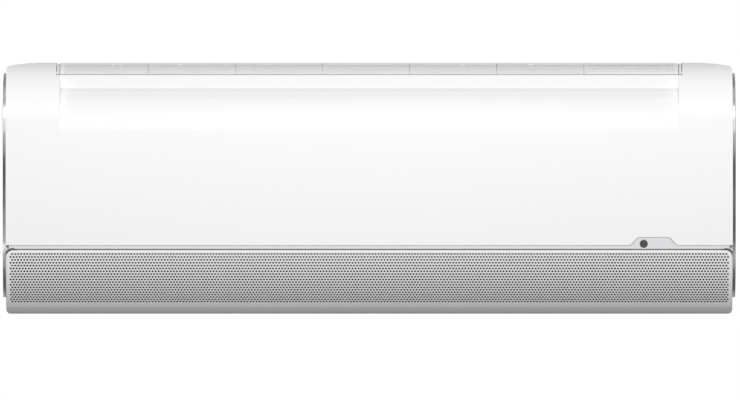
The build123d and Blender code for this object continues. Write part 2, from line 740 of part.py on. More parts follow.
with BuildPart() as flap_pins:
    with BuildSketch(Plane.YZ.offset(-partition_x - frame_wall), Plane.YZ.offset(pin_start_x)):
        with Locations((flap_hinge_y, flap_hinge_z)):
            Circle(flap_pin_radius)
    extrude(amount=partition_x + frame_wall - pin_start_x)
    with BuildSketch(Plane.YZ.offset(-mid_pin_high_x), Plane.YZ.offset(mid_pin_low_x)):
        with Locations((flap_hinge_y, flap_hinge_z)):
            Circle(flap_pin_radius)
    extrude(amount=mid_pin_high_x - mid_pin_low_x)
flap_pins.part.label = "flap_pins"
export_step(flap_pins.part, "parts/flap_pins.step")

# ================================================================ rear chassis
flow = (-math.cos(duct_angle), -math.sin(duct_angle))
across = (-math.sin(duct_angle), math.cos(duct_angle))


def duct(along, up):
    """A point of the Y-Z plane, measured along the outlet air flow and up across it."""
    return (tongue_y + along * flow[0] + up * across[0], tongue_z + along * flow[1] + up * across[1])


bend_centre_y = scroll_rear_y - scroll_radius
bend_up = scroll_radius - duct_height
bend_centre = (bend_centre_y,
               tongue_z + (bend_up - (bend_centre_y - tongue_y) * across[0]) / across[1])
fan_centre = (fan_y, fan_z)
fan_wall_radius = fan_radius + 4
chassis_half = half_width - frame_wall - fit
back_front_y = -10.5
back_rear_y = -8
trough_depth = 27
trough_front_y = scroll_rear_y - trough_depth
rim_depth = 2.5
hook_step = 240
hook_xs = [-hook_step, 0, hook_step]
hook_drop = 49
hook_z = top_z - hook_drop
hook_width = 40
hook_play = 3
hook_rise = 12


def scroll_band(outer, inner, end_along):
    """The scroll wall from its top round the fan and down the duct floor, between two offsets."""
    with BuildSketch() as band:
        lines = []
        for offset in (outer, inner):
            radius = scroll_radius + offset
            turn_end = (bend_centre[0] + radius * math.sin(duct_angle),
                        bend_centre[1] - radius * math.cos(duct_angle))
            half_turn = -(math.pi / 2 - duct_angle) / 2
            turn_mid = (bend_centre[0] + radius * math.cos(half_turn),
                        bend_centre[1] + radius * math.sin(half_turn))
            lines.append([(scroll_rear_y + offset, scroll_top_z), (scroll_rear_y + offset, bend_centre[1]),
                          turn_mid, turn_end, duct(end_along, -duct_height - offset)])
        with BuildLine():
            for top, turn_start, turn_mid, turn_end, out in lines:
                Line(top, turn_start)
                ThreePointArc(turn_start, turn_mid, turn_end)
                Line(turn_end, out)
            Line(lines[0][0], lines[1][0])
            Line(lines[0][-1], lines[1][-1])
        make_face()
    return band.sketch


def duct_side():
    """The wall that closes an end of the fan chamber and the duct."""
    with BuildSketch() as side:
        with Locations(fan_centre):
            Circle(fan_wall_radius)
        with BuildLine():
            Polyline((fan_y, fan_z + fan_wall_radius), (scroll_rear_y, scroll_top_z),
                     (scroll_rear_y, bend_centre[1]),
                     (bend_centre[0] + scroll_radius * math.sin(duct_angle),
                      bend_centre[1] - scroll_radius * math.cos(duct_angle)),
                     duct(duct_floor_length, -duct_height), duct(ceiling_length, -fit), duct(0, -fit),
                     close=True)
        make_face()
    return side.sketch


def floor_along(y):
    """How far along the air flow the duct floor reaches the depth y."""
    return (y - tongue_y + duct_height * across[0]) / flow[0]


louver_radius_out = 82
louver_angle = -math.radians(34)
louver_half_chord = 18
louver_thickness = 3
louver_pin_radius = 2.5
louver_centre = on_arc(flap_centre, louver_radius_out, louver_angle)
vane_count = 10
vane_pitch = (duct_right_x - duct_left_x) / vane_count
vane_xs = [duct_left_x + vane_pitch * (n + 0.5) for n in range(vane_count)]
vane_axis_along = 6
vane_thickness = 2
vane_pin_radius = 2
drive_pin_radius = 1.5
drive_reach = 12            # from the vane's axis to its drive pin
vane_low = -56
bar_thickness = 2.4
bar_width = 11
bar_gap = 1.8
bar_play = 0.5
leader_xs = [vane_xs[0], vane_xs[-1]]
drive_along = vane_axis_along - drive_reach
vane_turn = math.radians(30)
drive_drift = drive_reach * (1 - math.cos(vane_turn))
saddle_thickness = 3
saddle_inset = 4            # from either end of the motor
saddle_xs = [motor_left_x + saddle_inset, motor_left_x + motor_length - saddle_inset - saddle_thickness]
plate_thickness = 1.2
back_top_z = top_z - frame_wall - crown_drop - crown_corner
back_middle_z = (back_top_z + frame_low_z) / 2

with BuildPart() as rear_chassis:
    with BuildSketch(Plane.XZ.offset(-back_rear_y)):
        with Locations((0, back_middle_z)):
            Rectangle(2 * chassis_half, back_top_z - frame_low_z)
        with Locations(*[(x, hook_z - hook_rise / 2 - fit) for x in hook_xs]):
            Rectangle(hook_width + 2 * hook_play, hook_rise, mode=Mode.SUBTRACT)
    extrude(amount=back_rear_y - back_front_y)
    with BuildSketch(Plane.XZ):
        with Locations((0, back_middle_z)):
            Rectangle(2 * chassis_half, back_top_z - frame_low_z)
            Rectangle(2 * (chassis_half - rim_depth), back_top_z - frame_low_z - 2 * rim_depth,
                      mode=Mode.SUBTRACT)
    extrude(amount=-back_rear_y)
    with BuildSketch(Plane.YZ.offset(-chassis_half)):
        add(span(gutter_rear_y, back_front_y, frame_low_z, frame_low_z + sheet))
    extrude(amount=2 * chassis_half)
    with BuildSketch(Plane.YZ.offset(-partition_x + fit)):
        add(span(gutter_rear_y, gutter_rear_y + sheet, frame_low_z,
                 duct(floor_along(gutter_rear_y), -duct_height - sheet / 2)[1]))
        with BuildLine():
            Polyline(duct(floor_along(gutter_rear_y), -duct_height),
                     duct(duct_floor_length, -duct_height),
                     duct(duct_floor_length, -duct_height - sheet),
                     duct(floor_along(gutter_rear_y), -duct_height - sheet), close=True)
        make_face()
    extrude(amount=2 * (partition_x - fit))
    with BuildSketch(Plane.YZ.offset(duct_left_x - frame_wall)):
        add(scroll_band(sheet, 0, duct_floor_length))
        add(span(trough_front_y, back_front_y, scroll_top_z - sheet, scroll_top_z))
        add(span(trough_front_y, trough_front_y + sheet, scroll_top_z, scroll_top_z + 3 * sheet))
    extrude(amount=duct_right_x - duct_left_x + 2 * frame_wall)
    with BuildSketch(Plane.YZ.offset(duct_left_x - frame_wall), Plane.YZ.offset(duct_right_x)):
        add(duct_side())
        with Locations(fan_centre):
            Circle(bearing_radius + 2 * frame_wall, mode=Mode.SUBTRACT)
        with Locations(louver_centre):
            Circle(louver_pin_radius + running_fit, mode=Mode.SUBTRACT)
    extrude(amount=frame_wall)
    with BuildSketch(*[Plane.YZ.offset(x) for x in (-mid_lug_x - lug_thickness, mid_lug_x)]):
        lug_left = duct(floor_along(flap_hinge_y - ear_radius), -duct_height - sheet / 2)
        lug_right = duct(floor_along(flap_hinge_y + ear_radius), -duct_height - sheet / 2)
        with BuildLine():
            Polyline((flap_hinge_y - ear_radius, flap_hinge_z), lug_left, lug_right,
                     (flap_hinge_y + ear_radius, flap_hinge_z), close=True)
        make_face()
        with Locations((flap_hinge_y, flap_hinge_z)):
            Circle(ear_radius)
            Circle(flap_pin_radius + running_fit, mode=Mode.SUBTRACT)
    extrude(amount=lug_thickness)
    with BuildSketch(*[Plane.YZ.offset(x) for x in saddle_xs]):
        add(span(fan_y + motor_radius / 2, back_front_y, fan_z - motor_radius, fan_z + motor_radius))
        with Locations(fan_centre):
            Circle(motor_radius + fit, mode=Mode.SUBTRACT)
    extrude(amount=saddle_thickness)
    for leader_x in leader_xs:
        with BuildSketch(Plane(origin=(leader_x, *duct(vane_axis_along, -duct_height - 2 * sheet)),
                               z_dir=(0, *across))):
            Circle(vane_pin_radius + running_fit)
        extrude(amount=3 * sheet, mode=Mode.SUBTRACT)
rear_chassis.part.label = "rear_chassis"
export_step(rear_chassis.part, "parts/rear_chassis.step")

# ================================================================ stabiliser, drain pan, drain pipe
pan_drop = 0.2
pan_low_z = tongue_z - pan_drop
pan_left_gap = 8
pan_right_gap = 2
pan_left_x = pan_left_gap - half_width
pan_right_x = duct_right_x - pan_right_gap
pan_setback = 15.3
pan_tongue_gap = 5
pan_front_y = front_y + pan_setback
pan_rear_y = tongue_y - pan_tongue_gap
pan_height = 14
drain_inset = 7
drain_setback = 17.7
drain_x = pan_left_x + drain_inset
drain_y = pan_front_y + drain_setback
drain_radius = 8
drain_bore = 6
drain_drop = 33.8
drain_run_z = pan_low_z - drain_drop
drain_end_y = -40
drain_turn = 18
tongue_rise = 7

with BuildPart() as stabiliser:
    with BuildSketch(Plane.YZ.offset(duct_left_x - frame_wall)):
        with BuildLine():
            Polyline(duct(0, 0), duct(ceiling_length, 0), duct(ceiling_length, sheet), duct(0, sheet),
                     close=True)
        make_face()
    extrude(amount=duct_right_x - duct_left_x + 2 * frame_wall)
    with BuildSketch(Plane.YZ.offset(duct_left_x + fit)):
        add(span(tongue_y - sheet, tongue_y, tongue_z - fit, tongue_z + tongue_rise))
    extrude(amount=duct_right_x - duct_left_x - 2 * fit)
    for vane_x in vane_xs:
        with BuildSketch(Plane(origin=(vane_x, *duct(vane_axis_along, -sheet)), z_dir=(0, *across))):
            Circle(vane_pin_radius + running_fit)
        extrude(amount=3 * sheet, mode=Mode.SUBTRACT)
stabiliser.part.label = "stabiliser"
export_step(stabiliser.part, "parts/stabiliser.step")

with BuildPart() as front_drain_pan:
    with BuildSketch(Plane.YZ.offset(pan_left_x)):
        add(span(pan_front_y, pan_rear_y, pan_low_z, pan_low_z + pan_height))
    extrude(amount=pan_right_x - pan_left_x)
    with BuildSketch(Plane.YZ.offset(pan_left_x + sheet)):
        add(span(pan_front_y + sheet, pan_rear_y - sheet, pan_low_z + sheet, 0))
    extrude(amount=pan_right_x - pan_left_x - 2 * sheet, mode=Mode.SUBTRACT)
    with BuildSketch(Plane.XY.offset(pan_low_z)):
        with Locations((drain_x, drain_y)):
            Circle(drain_bore)
    extrude(amount=sheet, mode=Mode.SUBTRACT)
front_drain_pan.part.label = "front_drain_pan"
export_step(front_drain_pan.part, "parts/front_drain_pan.step")

with BuildPart() as drain_pipe:
    with BuildLine() as drain_route:
        FilletPolyline((drain_x, drain_y, pan_low_z), (drain_x, drain_y, drain_run_z),
                       (drain_x, drain_end_y, drain_run_z), radius=drain_turn)
    with BuildSketch(Plane.XY.offset(pan_low_z)):
        with Locations((drain_x, drain_y)):
            Circle(drain_radius)
            Circle(drain_bore, mode=Mode.SUBTRACT)
    sweep(path=drain_route.wires()[0])
drain_pipe.part.label = "drain_pipe"
export_step(drain_pipe.part, "parts/drain_pipe.step")

# ================================================================ fan, its bearing and its motor
fan_length = fan_right_x - fan_left_x
section_length = (fan_length - fan_disc) / fan_sections
blade_inner_radius = fan_radius - blade_depth
hub_radius = 12
hub_length = 18
stub_length = 18
motor_nose_radius = 12
motor_nose_length = 5
motor_shaft_hole = 12
clamp_thickness = 3
clamp_width = 20
clamp_inset = 14
clamp_x = motor_left_x + clamp_inset


def fan_blade():
    """The curved section of one blade, in front of the fan's axis."""
    middle_radius = fan_radius - blade_depth / 2
    tip_radius = fan_radius - seam
    with BuildSketch() as blade:
        with BuildLine() as spine:
            ThreePointArc((blade_inner_radius, 0),
                          (middle_radius * math.cos(blade_sweep / 3),
                           middle_radius * math.sin(blade_sweep / 3)),
                          (tip_radius * math.cos(blade_sweep), tip_radius * math.sin(blade_sweep)))
        trace(line_width=blade_thickness)
    return blade.sketch


with BuildPart() as fan_wheel:
    with BuildSketch(*[Plane.YZ.offset(fan_left_x + n * section_length) for n in range(fan_sections + 1)]):
        with Locations(fan_centre):
            Circle(fan_radius)
            Circle(fan_bore_radius, mode=Mode.SUBTRACT)
    extrude(amount=fan_disc)
    with BuildSketch(Plane.YZ.offset(fan_left_x), Plane.YZ.offset(fan_right_x - fan_disc)):
        with Locations(fan_centre):
            Circle(fan_radius)
    extrude(amount=fan_disc)
    with BuildSketch(Plane.YZ.offset(fan_left_x)):
        with Locations(fan_centre):
            with PolarLocations(0, fan_blades):
                add(fan_blade())
    extrude(amount=fan_length)
    with BuildSketch(Plane.YZ.offset(fan_right_x - hub_length)):
        with Locations(fan_centre):
            Circle(hub_radius)
    extrude(amount=hub_length)
    with BuildSketch(Plane.YZ.offset(fan_left_x - stub_length)):
        with Locations(fan_centre):
            Circle(shaft_radius)
    extrude(amount=stub_length)
    with BuildSketch(Plane.YZ.offset(fan_right_x - hub_length + fan_disc)):
        with Locations(fan_centre):
            Circle(shaft_radius + pin_seat)
    extrude(amount=hub_length, mode=Mode.SUBTRACT)
fan_wheel.part.label = "fan_wheel"
export_step(fan_wheel.part, "parts/fan_wheel.step")

with BuildPart() as motor_shaft:
    with BuildSketch(Plane.YZ.offset(fan_right_x - hub_length + 2 * fan_disc)):
        with Locations(fan_centre):
            Circle(shaft_radius)
    extrude(amount=motor_left_x + motor_shaft_hole - fan_right_x + hub_length - 3 * fan_disc)
motor_shaft.part.label = "motor_shaft"
export_step(motor_shaft.part, "parts/motor_shaft.step")

with BuildPart() as fan_motor:
    with BuildSketch(Plane.YZ.offset(motor_left_x)):
        with Locations(fan_centre):
            Circle(motor_radius)
    extrude(amount=motor_length)
    chamfer(fan_motor.edges().filter_by(GeomType.CIRCLE), frame_wall)
    with BuildSketch(Plane.YZ.offset(motor_left_x - motor_nose_length)):
        with Locations(fan_centre):
            Circle(motor_nose_radius)
    extrude(amount=motor_nose_length)
    with BuildSketch(Plane.YZ.offset(motor_left_x - motor_nose_length)):
        with Locations(fan_centre):
            Circle(shaft_radius + running_fit)
    extrude(amount=motor_nose_length + motor_shaft_hole, mode=Mode.SUBTRACT)
fan_motor.part.label = "fan_motor"
export_step(fan_motor.part, "parts/fan_motor.step")

with BuildPart() as motor_clamp:
    with BuildSketch(Plane.YZ.offset(clamp_x)):
        with Locations(fan_centre):
            Circle(motor_radius + fit + clamp_thickness)
            Circle(motor_radius + fit, mode=Mode.SUBTRACT)
        add(span(fan_y + motor_radius / 2, 0, -beyond, beyond), mode=Mode.SUBTRACT)
    extrude(amount=clamp_width)
motor_clamp.part.label = "motor_clamp"
export_step(motor_clamp.part, "parts/motor_clamp.step")

bush_left_x = duct_left_x - frame_wall - bearing_length
holder_flange_radius = 26
with BuildPart() as bearing_bush:
    with BuildSketch(Plane.YZ.offset(bush_left_x)):
        with Locations(fan_centre):
            Circle(bearing_radius)
            Circle(shaft_radius + running_fit, mode=Mode.SUBTRACT)
    extrude(amount=bearing_length)
bearing_bush.part.label = "bearing_bush"
export_step(bearing_bush.part, "parts/bearing_bush.step")

with BuildPart() as bearing_holder:
    with BuildSketch(Plane.YZ.offset(bush_left_x - frame_wall)):
        with Locations(fan_centre):
            Circle(bearing_radius + frame_wall)
    extrude(amount=bearing_length + frame_wall - fit)
    with BuildSketch(Plane.YZ.offset(duct_left_x - 2 * frame_wall - fit)):
        with Locations(fan_centre):
            Circle(holder_flange_radius)
    extrude(amount=frame_wall)
    with BuildSketch(Plane.YZ.offset(bush_left_x)):
        with Locations(fan_centre):
            Circle(bearing_radius + pin_seat)
    extrude(amount=bearing_length, mode=Mode.SUBTRACT)
bearing_holder.part.label = "bearing_holder"
export_step(bearing_holder.part, "parts/bearing_holder.step")

# ================================================================ coil: three fin blocks on their tubes
coil_length = coil_right_x - coil_left_x
lower_setback = 30
lower_top_drop = 119
upper_setback = 35
upper_low_drop = 111
ridge_setback = 85
ridge_drop = 33
ridge_width = 22
rear_top_drop = 37
rear_seat_inset = 8.2
rear_seat_rise = 5.6
lower_fins = ((front_y + lower_setback, pan_low_z + sheet + fit),
              (front_y + lower_setback, top_z - lower_top_drop))
upper_fins = ((front_y + upper_setback, top_z - upper_low_drop),
              (front_y + ridge_setback, top_z - ridge_drop))
rear_fins = ((scroll_rear_y - rear_seat_inset, scroll_top_z + rear_seat_rise),
             (front_y + ridge_setback + ridge_width, top_z - rear_top_drop))
tube_hole = tube_radius + pin_seat
stub_reach = 22


def fin_plane(low, high, x):
    """A plane across the fins at x: its y axis runs up the block and its x axis through it."""
    run = (high[0] - low[0], high[1] - low[1])
    length = math.hypot(*run)
    through = (run[1] / length, -run[0] / length)
    middle = ((low[0] + high[0]) / 2, (low[1] + high[1]) / 2)
    return Plane(origin=(x, *middle), x_dir=(0, *through), z_dir=(1, 0, 0)), length


def tube_rows(block_height):
    """How far up a block its tubes lie, from its middle: as many as it has room for."""
    count = int((block_height - 2 * tube_margin) / tube_pitch) + 1
    return [(n - (count - 1) / 2) * tube_pitch for n in range(count)]


def fin_holes(radius, block_height):
    """The tube places of one block."""
    with BuildSketch() as holes:
        with Locations(*[(row, place) for row in (-tube_row_gap / 2, tube_row_gap / 2)
                         for place in tube_rows(block_height)]):
            Circle(radius)
    return holes.sketch


for name, (low, high) in (("coil_front_lower", lower_fins), ("coil_front_upper", upper_fins),
                          ("coil_rear", rear_fins)):
    fins_at, block_height = fin_plane(low, high, coil_left_x)
    with BuildPart() as fins:
        with BuildSketch(fins_at):
            Rectangle(fin_depth, block_height)
            add(fin_holes(tube_hole, block_height), mode=Mode.SUBTRACT)
        extrude(amount=coil_length)
    fins.part.label = name
    export_step(fins.part, f"parts/{name}.step")


def block_end(low, high, top):
    """The two corners of a block's top or bottom end, in the Y-Z plane, front one first."""
    block_at, block_height = fin_plane(low, high, 0)
    up = block_height / 2 if top else -block_height / 2
    corners = [block_at.from_local_coords((side * fin_depth / 2, up, 0)) for side in (-1, 1)]
    return sorted((corner.Y, corner.Z) for corner in corners)


with BuildPart() as coil_end_plates:
    for plate_x in (coil_left_x - end_plate, coil_right_x):
        for low, high in (lower_fins, upper_fins, rear_fins):
            plate_at, block_height = fin_plane(low, high, plate_x)
            with BuildSketch(plate_at):
                Rectangle(fin_depth, block_height)
                add(fin_holes(tube_hole, block_height), mode=Mode.SUBTRACT)
            extrude(amount=end_plate)
        front_top, front_low = block_end(*lower_fins, True), block_end(*upper_fins, False)
        ridge_front, ridge_rear = block_end(*upper_fins, True), block_end(*rear_fins, True)
        with BuildSketch(Plane.YZ.offset(plate_x)):
            with BuildLine():
                Polyline(front_top[0], front_top[1], front_low[1], front_low[0], close=True)
            make_face()
            with BuildLine():
                Polyline(ridge_front[0], ridge_front[1], ridge_rear[0], ridge_rear[1], close=True)
            make_face()
        extrude(amount=end_plate)
coil_end_plates.part.label = "coil_end_plates"
export_step(coil_end_plates.part, "parts/coil_end_plates.step")

with BuildPart() as coil_tubes:
    for low, high in (lower_fins, upper_fins, rear_fins):
        left_at, block_height = fin_plane(low, high, coil_left_x - bend_reach / 2)
        tube_length = coil_length + bend_reach
        with BuildSketch(left_at):
            add(fin_holes(tube_radius, block_height))
        extrude(amount=tube_length)
        rows = (-tube_row_gap / 2, tube_row_gap / 2)
        places = tube_rows(block_height)
        left_pairs = [((row, places[n]), (row, places[n + 1]))
                      for row in rows for n in range(0, len(places) - 1, 2)]
        right_pairs = [((row, places[n]), (row, places[n + 1]))
                       for row in rows for n in range(1, len(places) - 1, 2)]
        last_pairs = left_pairs if len(places) % 2 else right_pairs
        last_pairs.append(((rows[0], places[-1]), (rows[1], places[-1])))
        right_at = fin_plane(low, high, coil_right_x + bend_reach / 2)[0]
        for end_at, pairs, turn in ((left_at, left_pairs, -1), (right_at, right_pairs, 1)):
            for first, second in pairs:
                start = end_at.from_local_coords((*first, 0))
                finish = end_at.from_local_coords((*second, 0))
                half_gap = (finish - start) / 2
                with BuildSketch(end_at):
                    with Locations(first):
                        Circle(tube_radius)
                revolve(axis=Axis(start + half_gap, Vector(turn, 0, 0).cross(half_gap)), revolution_arc=180)
    stub_at, block_height = fin_plane(*lower_fins, coil_right_x + bend_reach / 2)
    with BuildSketch(stub_at):
        with Locations(*[(row, tube_rows(block_height)[0]) for row in rows]):
            Circle(tube_radius)
    extrude(amount=stub_reach - bend_reach / 2)
coil_tubes.part.label = "coil_tubes"
export_step(coil_tubes.part, "parts/coil_tubes.step")

# ================================================================ connecting pipes
liquid_radius = 3.175
gas_radius = 4.76
pipe_channel_y = -30
liquid_channel_rise = 43
gas_channel_rise = 21
liquid_channel_z = low_z + liquid_channel_rise
gas_channel_z = low_z + gas_channel_rise
liquid_drop_gap = 29
gas_drop_gap = 44
liquid_drop_x = duct_right_x + liquid_drop_gap
gas_drop_x = duct_right_x + gas_drop_gap
liquid_drop_rise = 75
gas_drop_rise = 64
liquid_drop_z = low_z + liquid_drop_rise
gas_drop_z = low_z + gas_drop_rise
pipe_end_x = -150
nut_length = 17
nut_across = 17
liquid_nut_across = 14
nut_overlap = 14
clamp_block_x = 0
clamp_block_width = 12
clamp_block_edge = 10
clamp_block_low_z = gas_channel_z - clamp_block_edge
clamp_block_high_z = liquid_channel_z + clamp_block_edge
first_tube, first_height = fin_plane(*lower_fins, coil_right_x + stub_reach)
gas_start = first_tube.from_local_coords((-tube_row_gap / 2, tube_rows(first_height)[0], 0))
liquid_start = first_tube.from_local_coords((tube_row_gap / 2, tube_rows(first_height)[0], 0))

for name, start, drop_x, drop_z, channel_z, radius in (
        ("liquid_pipe", liquid_start, liquid_drop_x, liquid_drop_z, liquid_channel_z, liquid_radius),
        ("gas_pipe", gas_start, gas_drop_x, gas_drop_z, gas_channel_z, gas_radius)):
    with BuildPart() as pipe:
        with BuildLine() as route:
            FilletPolyline((start.X, start.Y, start.Z), (drop_x, start.Y, start.Z), (drop_x, start.Y, drop_z),
                           (drop_x, pipe_channel_y, drop_z), (drop_x, pipe_channel_y, channel_z),
                           (pipe_end_x, pipe_channel_y, channel_z), radius=radius * 2)
        with BuildSketch(Plane(origin=start, z_dir=(1, 0, 0))):
            Circle(radius)
        sweep(path=route.wires()[0])
    pipe.part.label = name
    export_step(pipe.part, f"parts/{name}.step")

with BuildPart() as flare_nuts:
    for channel_z, radius, size in ((liquid_channel_z, liquid_radius, liquid_nut_across),
                                    (gas_channel_z, gas_radius, nut_across)):
        with BuildSketch(Plane.YZ.offset(pipe_end_x - nut_length + nut_overlap)):
            with Locations((pipe_channel_y, channel_z)):
                RegularPolygon(size / 2, 6, major_radius=False)
                Circle(radius + pin_seat, mode=Mode.SUBTRACT)
        extrude(amount=nut_length)
flare_nuts.part.label = "flare_nuts"
export_step(flare_nuts.part, "parts/flare_nuts.step")

with BuildPart() as pipe_clamp:
    with BuildSketch(Plane.YZ.offset(clamp_block_x)):
        add(span(pipe_channel_y - gas_radius - frame_wall, back_front_y - fit, clamp_block_low_z,
                 clamp_block_high_z))
        with Locations((pipe_channel_y, liquid_channel_z)):
            Circle(liquid_radius + pin_seat, mode=Mode.SUBTRACT)
        with Locations((pipe_channel_y, gas_channel_z)):
            Circle(gas_radius + pin_seat, mode=Mode.SUBTRACT)
    extrude(amount=clamp_block_width)
pipe_clamp.part.label = "pipe_clamp"
export_step(pipe_clamp.part, "parts/pipe_clamp.step")

# ================================================================ electrical parts
box_end_gap = 8
box_width = 54
box_setback = 30
box_base = 101
box_top_drop = 49
box_right_x = half_width - box_end_gap
box_left_x = box_right_x - box_width
box_front_y = front_y + box_setback
box_low_z = low_z + box_base
box_high_z = top_z - box_top_drop
box_wall = 2
cover_thickness = 2
button_inset = 36
button_x = box_left_x + button_inset
button_rise = 130
button_z = box_low_z + button_rise
button_radius = 4
button_flange = 6
button_travel = 2
button_proud = 3
board_stand_off = 4
board_x = box_left_x + box_wall + board_stand_off
board_thickness = 1.6
board_margin_low = 15
board_margin_high = 12
board_margin_front = 13
board_low_z = box_low_z + board_margin_low
board_high_z = box_high_z - board_margin_high
board_front_y = box_front_y + board_margin_front
board_rear_y = -30
terminal_depth = 22
terminal_height = 16
terminal_step_x = 9
terminal_step_y = 11
terminal_columns = 4
terminal_rows = 2

with BuildPart() as electrical_box:
    with BuildSketch(Plane.YZ.offset(box_left_x)):
        add(span(box_front_y, back_front_y - fit, box_low_z, box_high_z))
    extrude(amount=box_right_x - box_left_x)
    with BuildSketch(Plane.YZ.offset(box_left_x + box_wall)):
        add(span(-beyond, back_front_y - fit - box_wall, box_low_z + box_wall, box_high_z - box_wall))
    extrude(amount=box_right_x - box_left_x - 2 * box_wall, mode=Mode.SUBTRACT)
    with BuildSketch(Plane.YZ.offset(box_left_x + box_wall)):
        for foot_z in (board_low_z, board_high_z - 2 * box_wall):
            add(span(board_front_y, board_front_y + 2 * box_wall, foot_z, foot_z + 2 * box_wall))
            add(span(board_rear_y - 2 * box_wall, board_rear_y, foot_z, foot_z + 2 * box_wall))
    extrude(amount=board_x - box_left_x - box_wall)
electrical_box.part.label = "electrical_box"
export_step(electrical_box.part, "parts/electrical_box.step")

with BuildPart() as electrical_cover:
    with BuildSketch(Plane.XZ.offset(-box_front_y)):
        with Locations(((box_left_x + box_right_x) / 2, (box_low_z + box_high_z) / 2)):
            Rectangle(box_right_x - box_left_x, box_high_z - box_low_z)
        with Locations((button_x, button_z)):
            Circle(button_radius + running_fit, mode=Mode.SUBTRACT)
    extrude(amount=cover_thickness)
electrical_cover.part.label = "electrical_cover"
export_step(electrical_cover.part, "parts/electrical_cover.step")

with BuildPart() as reset_button:
    with BuildSketch(Plane.XZ.offset(-box_front_y - button_travel - 2 * fit)):
        with Locations((button_x, button_z)):
            Circle(button_radius)
    extrude(amount=cover_thickness + button_travel + 2 * fit + button_proud)
    fillet(reset_button.edges().sort_by(Axis.Y)[0], fit)
    with BuildSketch(Plane.XZ.offset(-box_front_y - button_travel)):
        with Locations((button_x, button_z)):
            Circle(button_flange)
    extrude(amount=button_travel - fit)
reset_button.part.label = "reset_button"
export_step(reset_button.part, "parts/reset_button.step")

capacitor_radius = 9
capacitor_length = 24
relay_size = (15, 20, 15)
transformer_size = (26, 32, 30)
capacitor_places = ((30, 30), (30, 60))     # back from the board's front edge, down from its top
relay_places = ((90, 20), (90, 50))
transformer_place = (70, 105)


def on_board(place):
    """The depth and height of a place on the main board."""
    return (board_front_y + place[0], board_high_z - place[1])


with BuildPart() as main_board:
    with BuildSketch(Plane.YZ.offset(board_x)):
        add(span(board_front_y, board_rear_y, board_low_z, board_high_z))
    extrude(amount=board_thickness)
    with BuildSketch(Plane.YZ.offset(board_x + board_thickness)):
        with Locations(*[on_board(place) for place in capacitor_places]):
            Circle(capacitor_radius)
    extrude(amount=capacitor_length)
    with BuildSketch(Plane.YZ.offset(board_x + board_thickness)):
        with Locations(*[on_board(place) for place in relay_places]):
            Rectangle(relay_size[1], relay_size[2])
    extrude(amount=relay_size[0])
    with BuildSketch(Plane.YZ.offset(board_x + board_thickness)):
        with Locations(on_board(transformer_place)):
            Rectangle(transformer_size[1], transformer_size[2])
    extrude(amount=transformer_size[0])
main_board.part.label = "main_board"
export_step(main_board.part, "parts/main_board.step")

with BuildPart() as terminal_block:
    with BuildSketch(Plane.XY.offset(box_low_z + box_wall)):
        with Locations(((board_x + box_right_x) / 2, board_front_y + terminal_depth / 2)):
            Rectangle(box_right_x - board_x - 4 * box_wall - board_thickness, terminal_depth)
    extrude(amount=terminal_height)
    with BuildSketch(Plane.XY.offset(box_low_z + box_wall + terminal_height)):
        with Locations(((board_x + box_right_x) / 2, board_front_y + terminal_depth / 2)):
            with GridLocations(terminal_step_x, terminal_step_y, terminal_columns, terminal_rows):
                Circle(screw_head_radius)
    extrude(amount=-terminal_height / 2, mode=Mode.SUBTRACT)
terminal_block.part.label = "terminal_block"
export_step(terminal_block.part, "parts/terminal_block.step")

display_board_size = (34, 7)
display_board_rise = 6.1
display_board_z = strip_high_z + display_board_rise
with BuildPart() as display_board:
    with BuildSketch(Plane.XZ.offset(-rail_front_y - board_thickness)):
        with Locations((bump_x, display_board_z)):
            Rectangle(*display_board_size)
    extrude(amount=board_thickness)
display_board.part.label = "display_board"
export_step(display_board.part, "parts/display_board.step")

# ================================================================ inner louver and its motors
louver_play = 3
louver_motor_radius = 14
louver_motor_depth = 20
louver_motor_offset = 8
flap_motor_radius = 11.5
flap_motor_depth = 17
flap_motor_offset = (4.5, 6.8)
vane_motor_radius = 12
vane_motor_depth = 16
vane_motor_along = -8       # the motor body sits upstream of its shaft
motor_gap = 0.3
louver_normal = (math.cos(louver_angle), math.sin(louver_angle))
louver_tangent = (-math.sin(louver_angle), math.cos(louver_angle))


def louver_point(along, up):
    """A point of the Y-Z plane, measured along the louver's chord and out along its normal."""
    return (louver_centre[0] + along * louver_tangent[0] - up * louver_normal[0],
            louver_centre[1] + along * louver_tangent[1] + up * louver_normal[1])


with BuildPart() as inner_louver:
    with BuildSketch(Plane.YZ.offset(duct_left_x + louver_play)):
        with BuildLine():
            ThreePointArc(louver_point(-louver_half_chord, 0), louver_point(0, louver_thickness),
                          louver_point(louver_half_chord, 0))
            ThreePointArc(louver_point(louver_half_chord, 0), louver_point(0, -louver_thickness / 4),
                          louver_point(-louver_half_chord, 0))
        make_face()
    extrude(amount=duct_right_x - duct_left_x - 2 * louver_play)
    with BuildSketch(Plane.YZ.offset(duct_left_x - frame_wall)):
        with Locations(louver_centre):
            Circle(louver_pin_radius)
    extrude(amount=frame_wall + louver_play)
    with BuildSketch(Plane.YZ.offset(duct_right_x - louver_play)):
        with Locations(louver_centre):
            Circle(louver_pin_radius)
    extrude(amount=frame_wall + louver_play + louver_motor_depth / 2)
inner_louver.part.label = "inner_louver"
export_step(inner_louver.part, "parts/inner_louver.step")

louver_motor_centre = (louver_centre[0] + louver_motor_offset * louver_normal[0],
                       louver_centre[1] - louver_motor_offset * louver_normal[1])
with BuildPart() as louver_motor:
    with BuildSketch(Plane.YZ.offset(duct_right_x + frame_wall + motor_gap)):
        with Locations(louver_motor_centre):
            Circle(louver_motor_radius)
        with Locations(louver_centre):
            Circle(louver_pin_radius + running_fit, mode=Mode.SUBTRACT)
    extrude(amount=louver_motor_depth)
louver_motor.part.label = "louver_motor"
export_step(louver_motor.part, "parts/louver_motor.step")

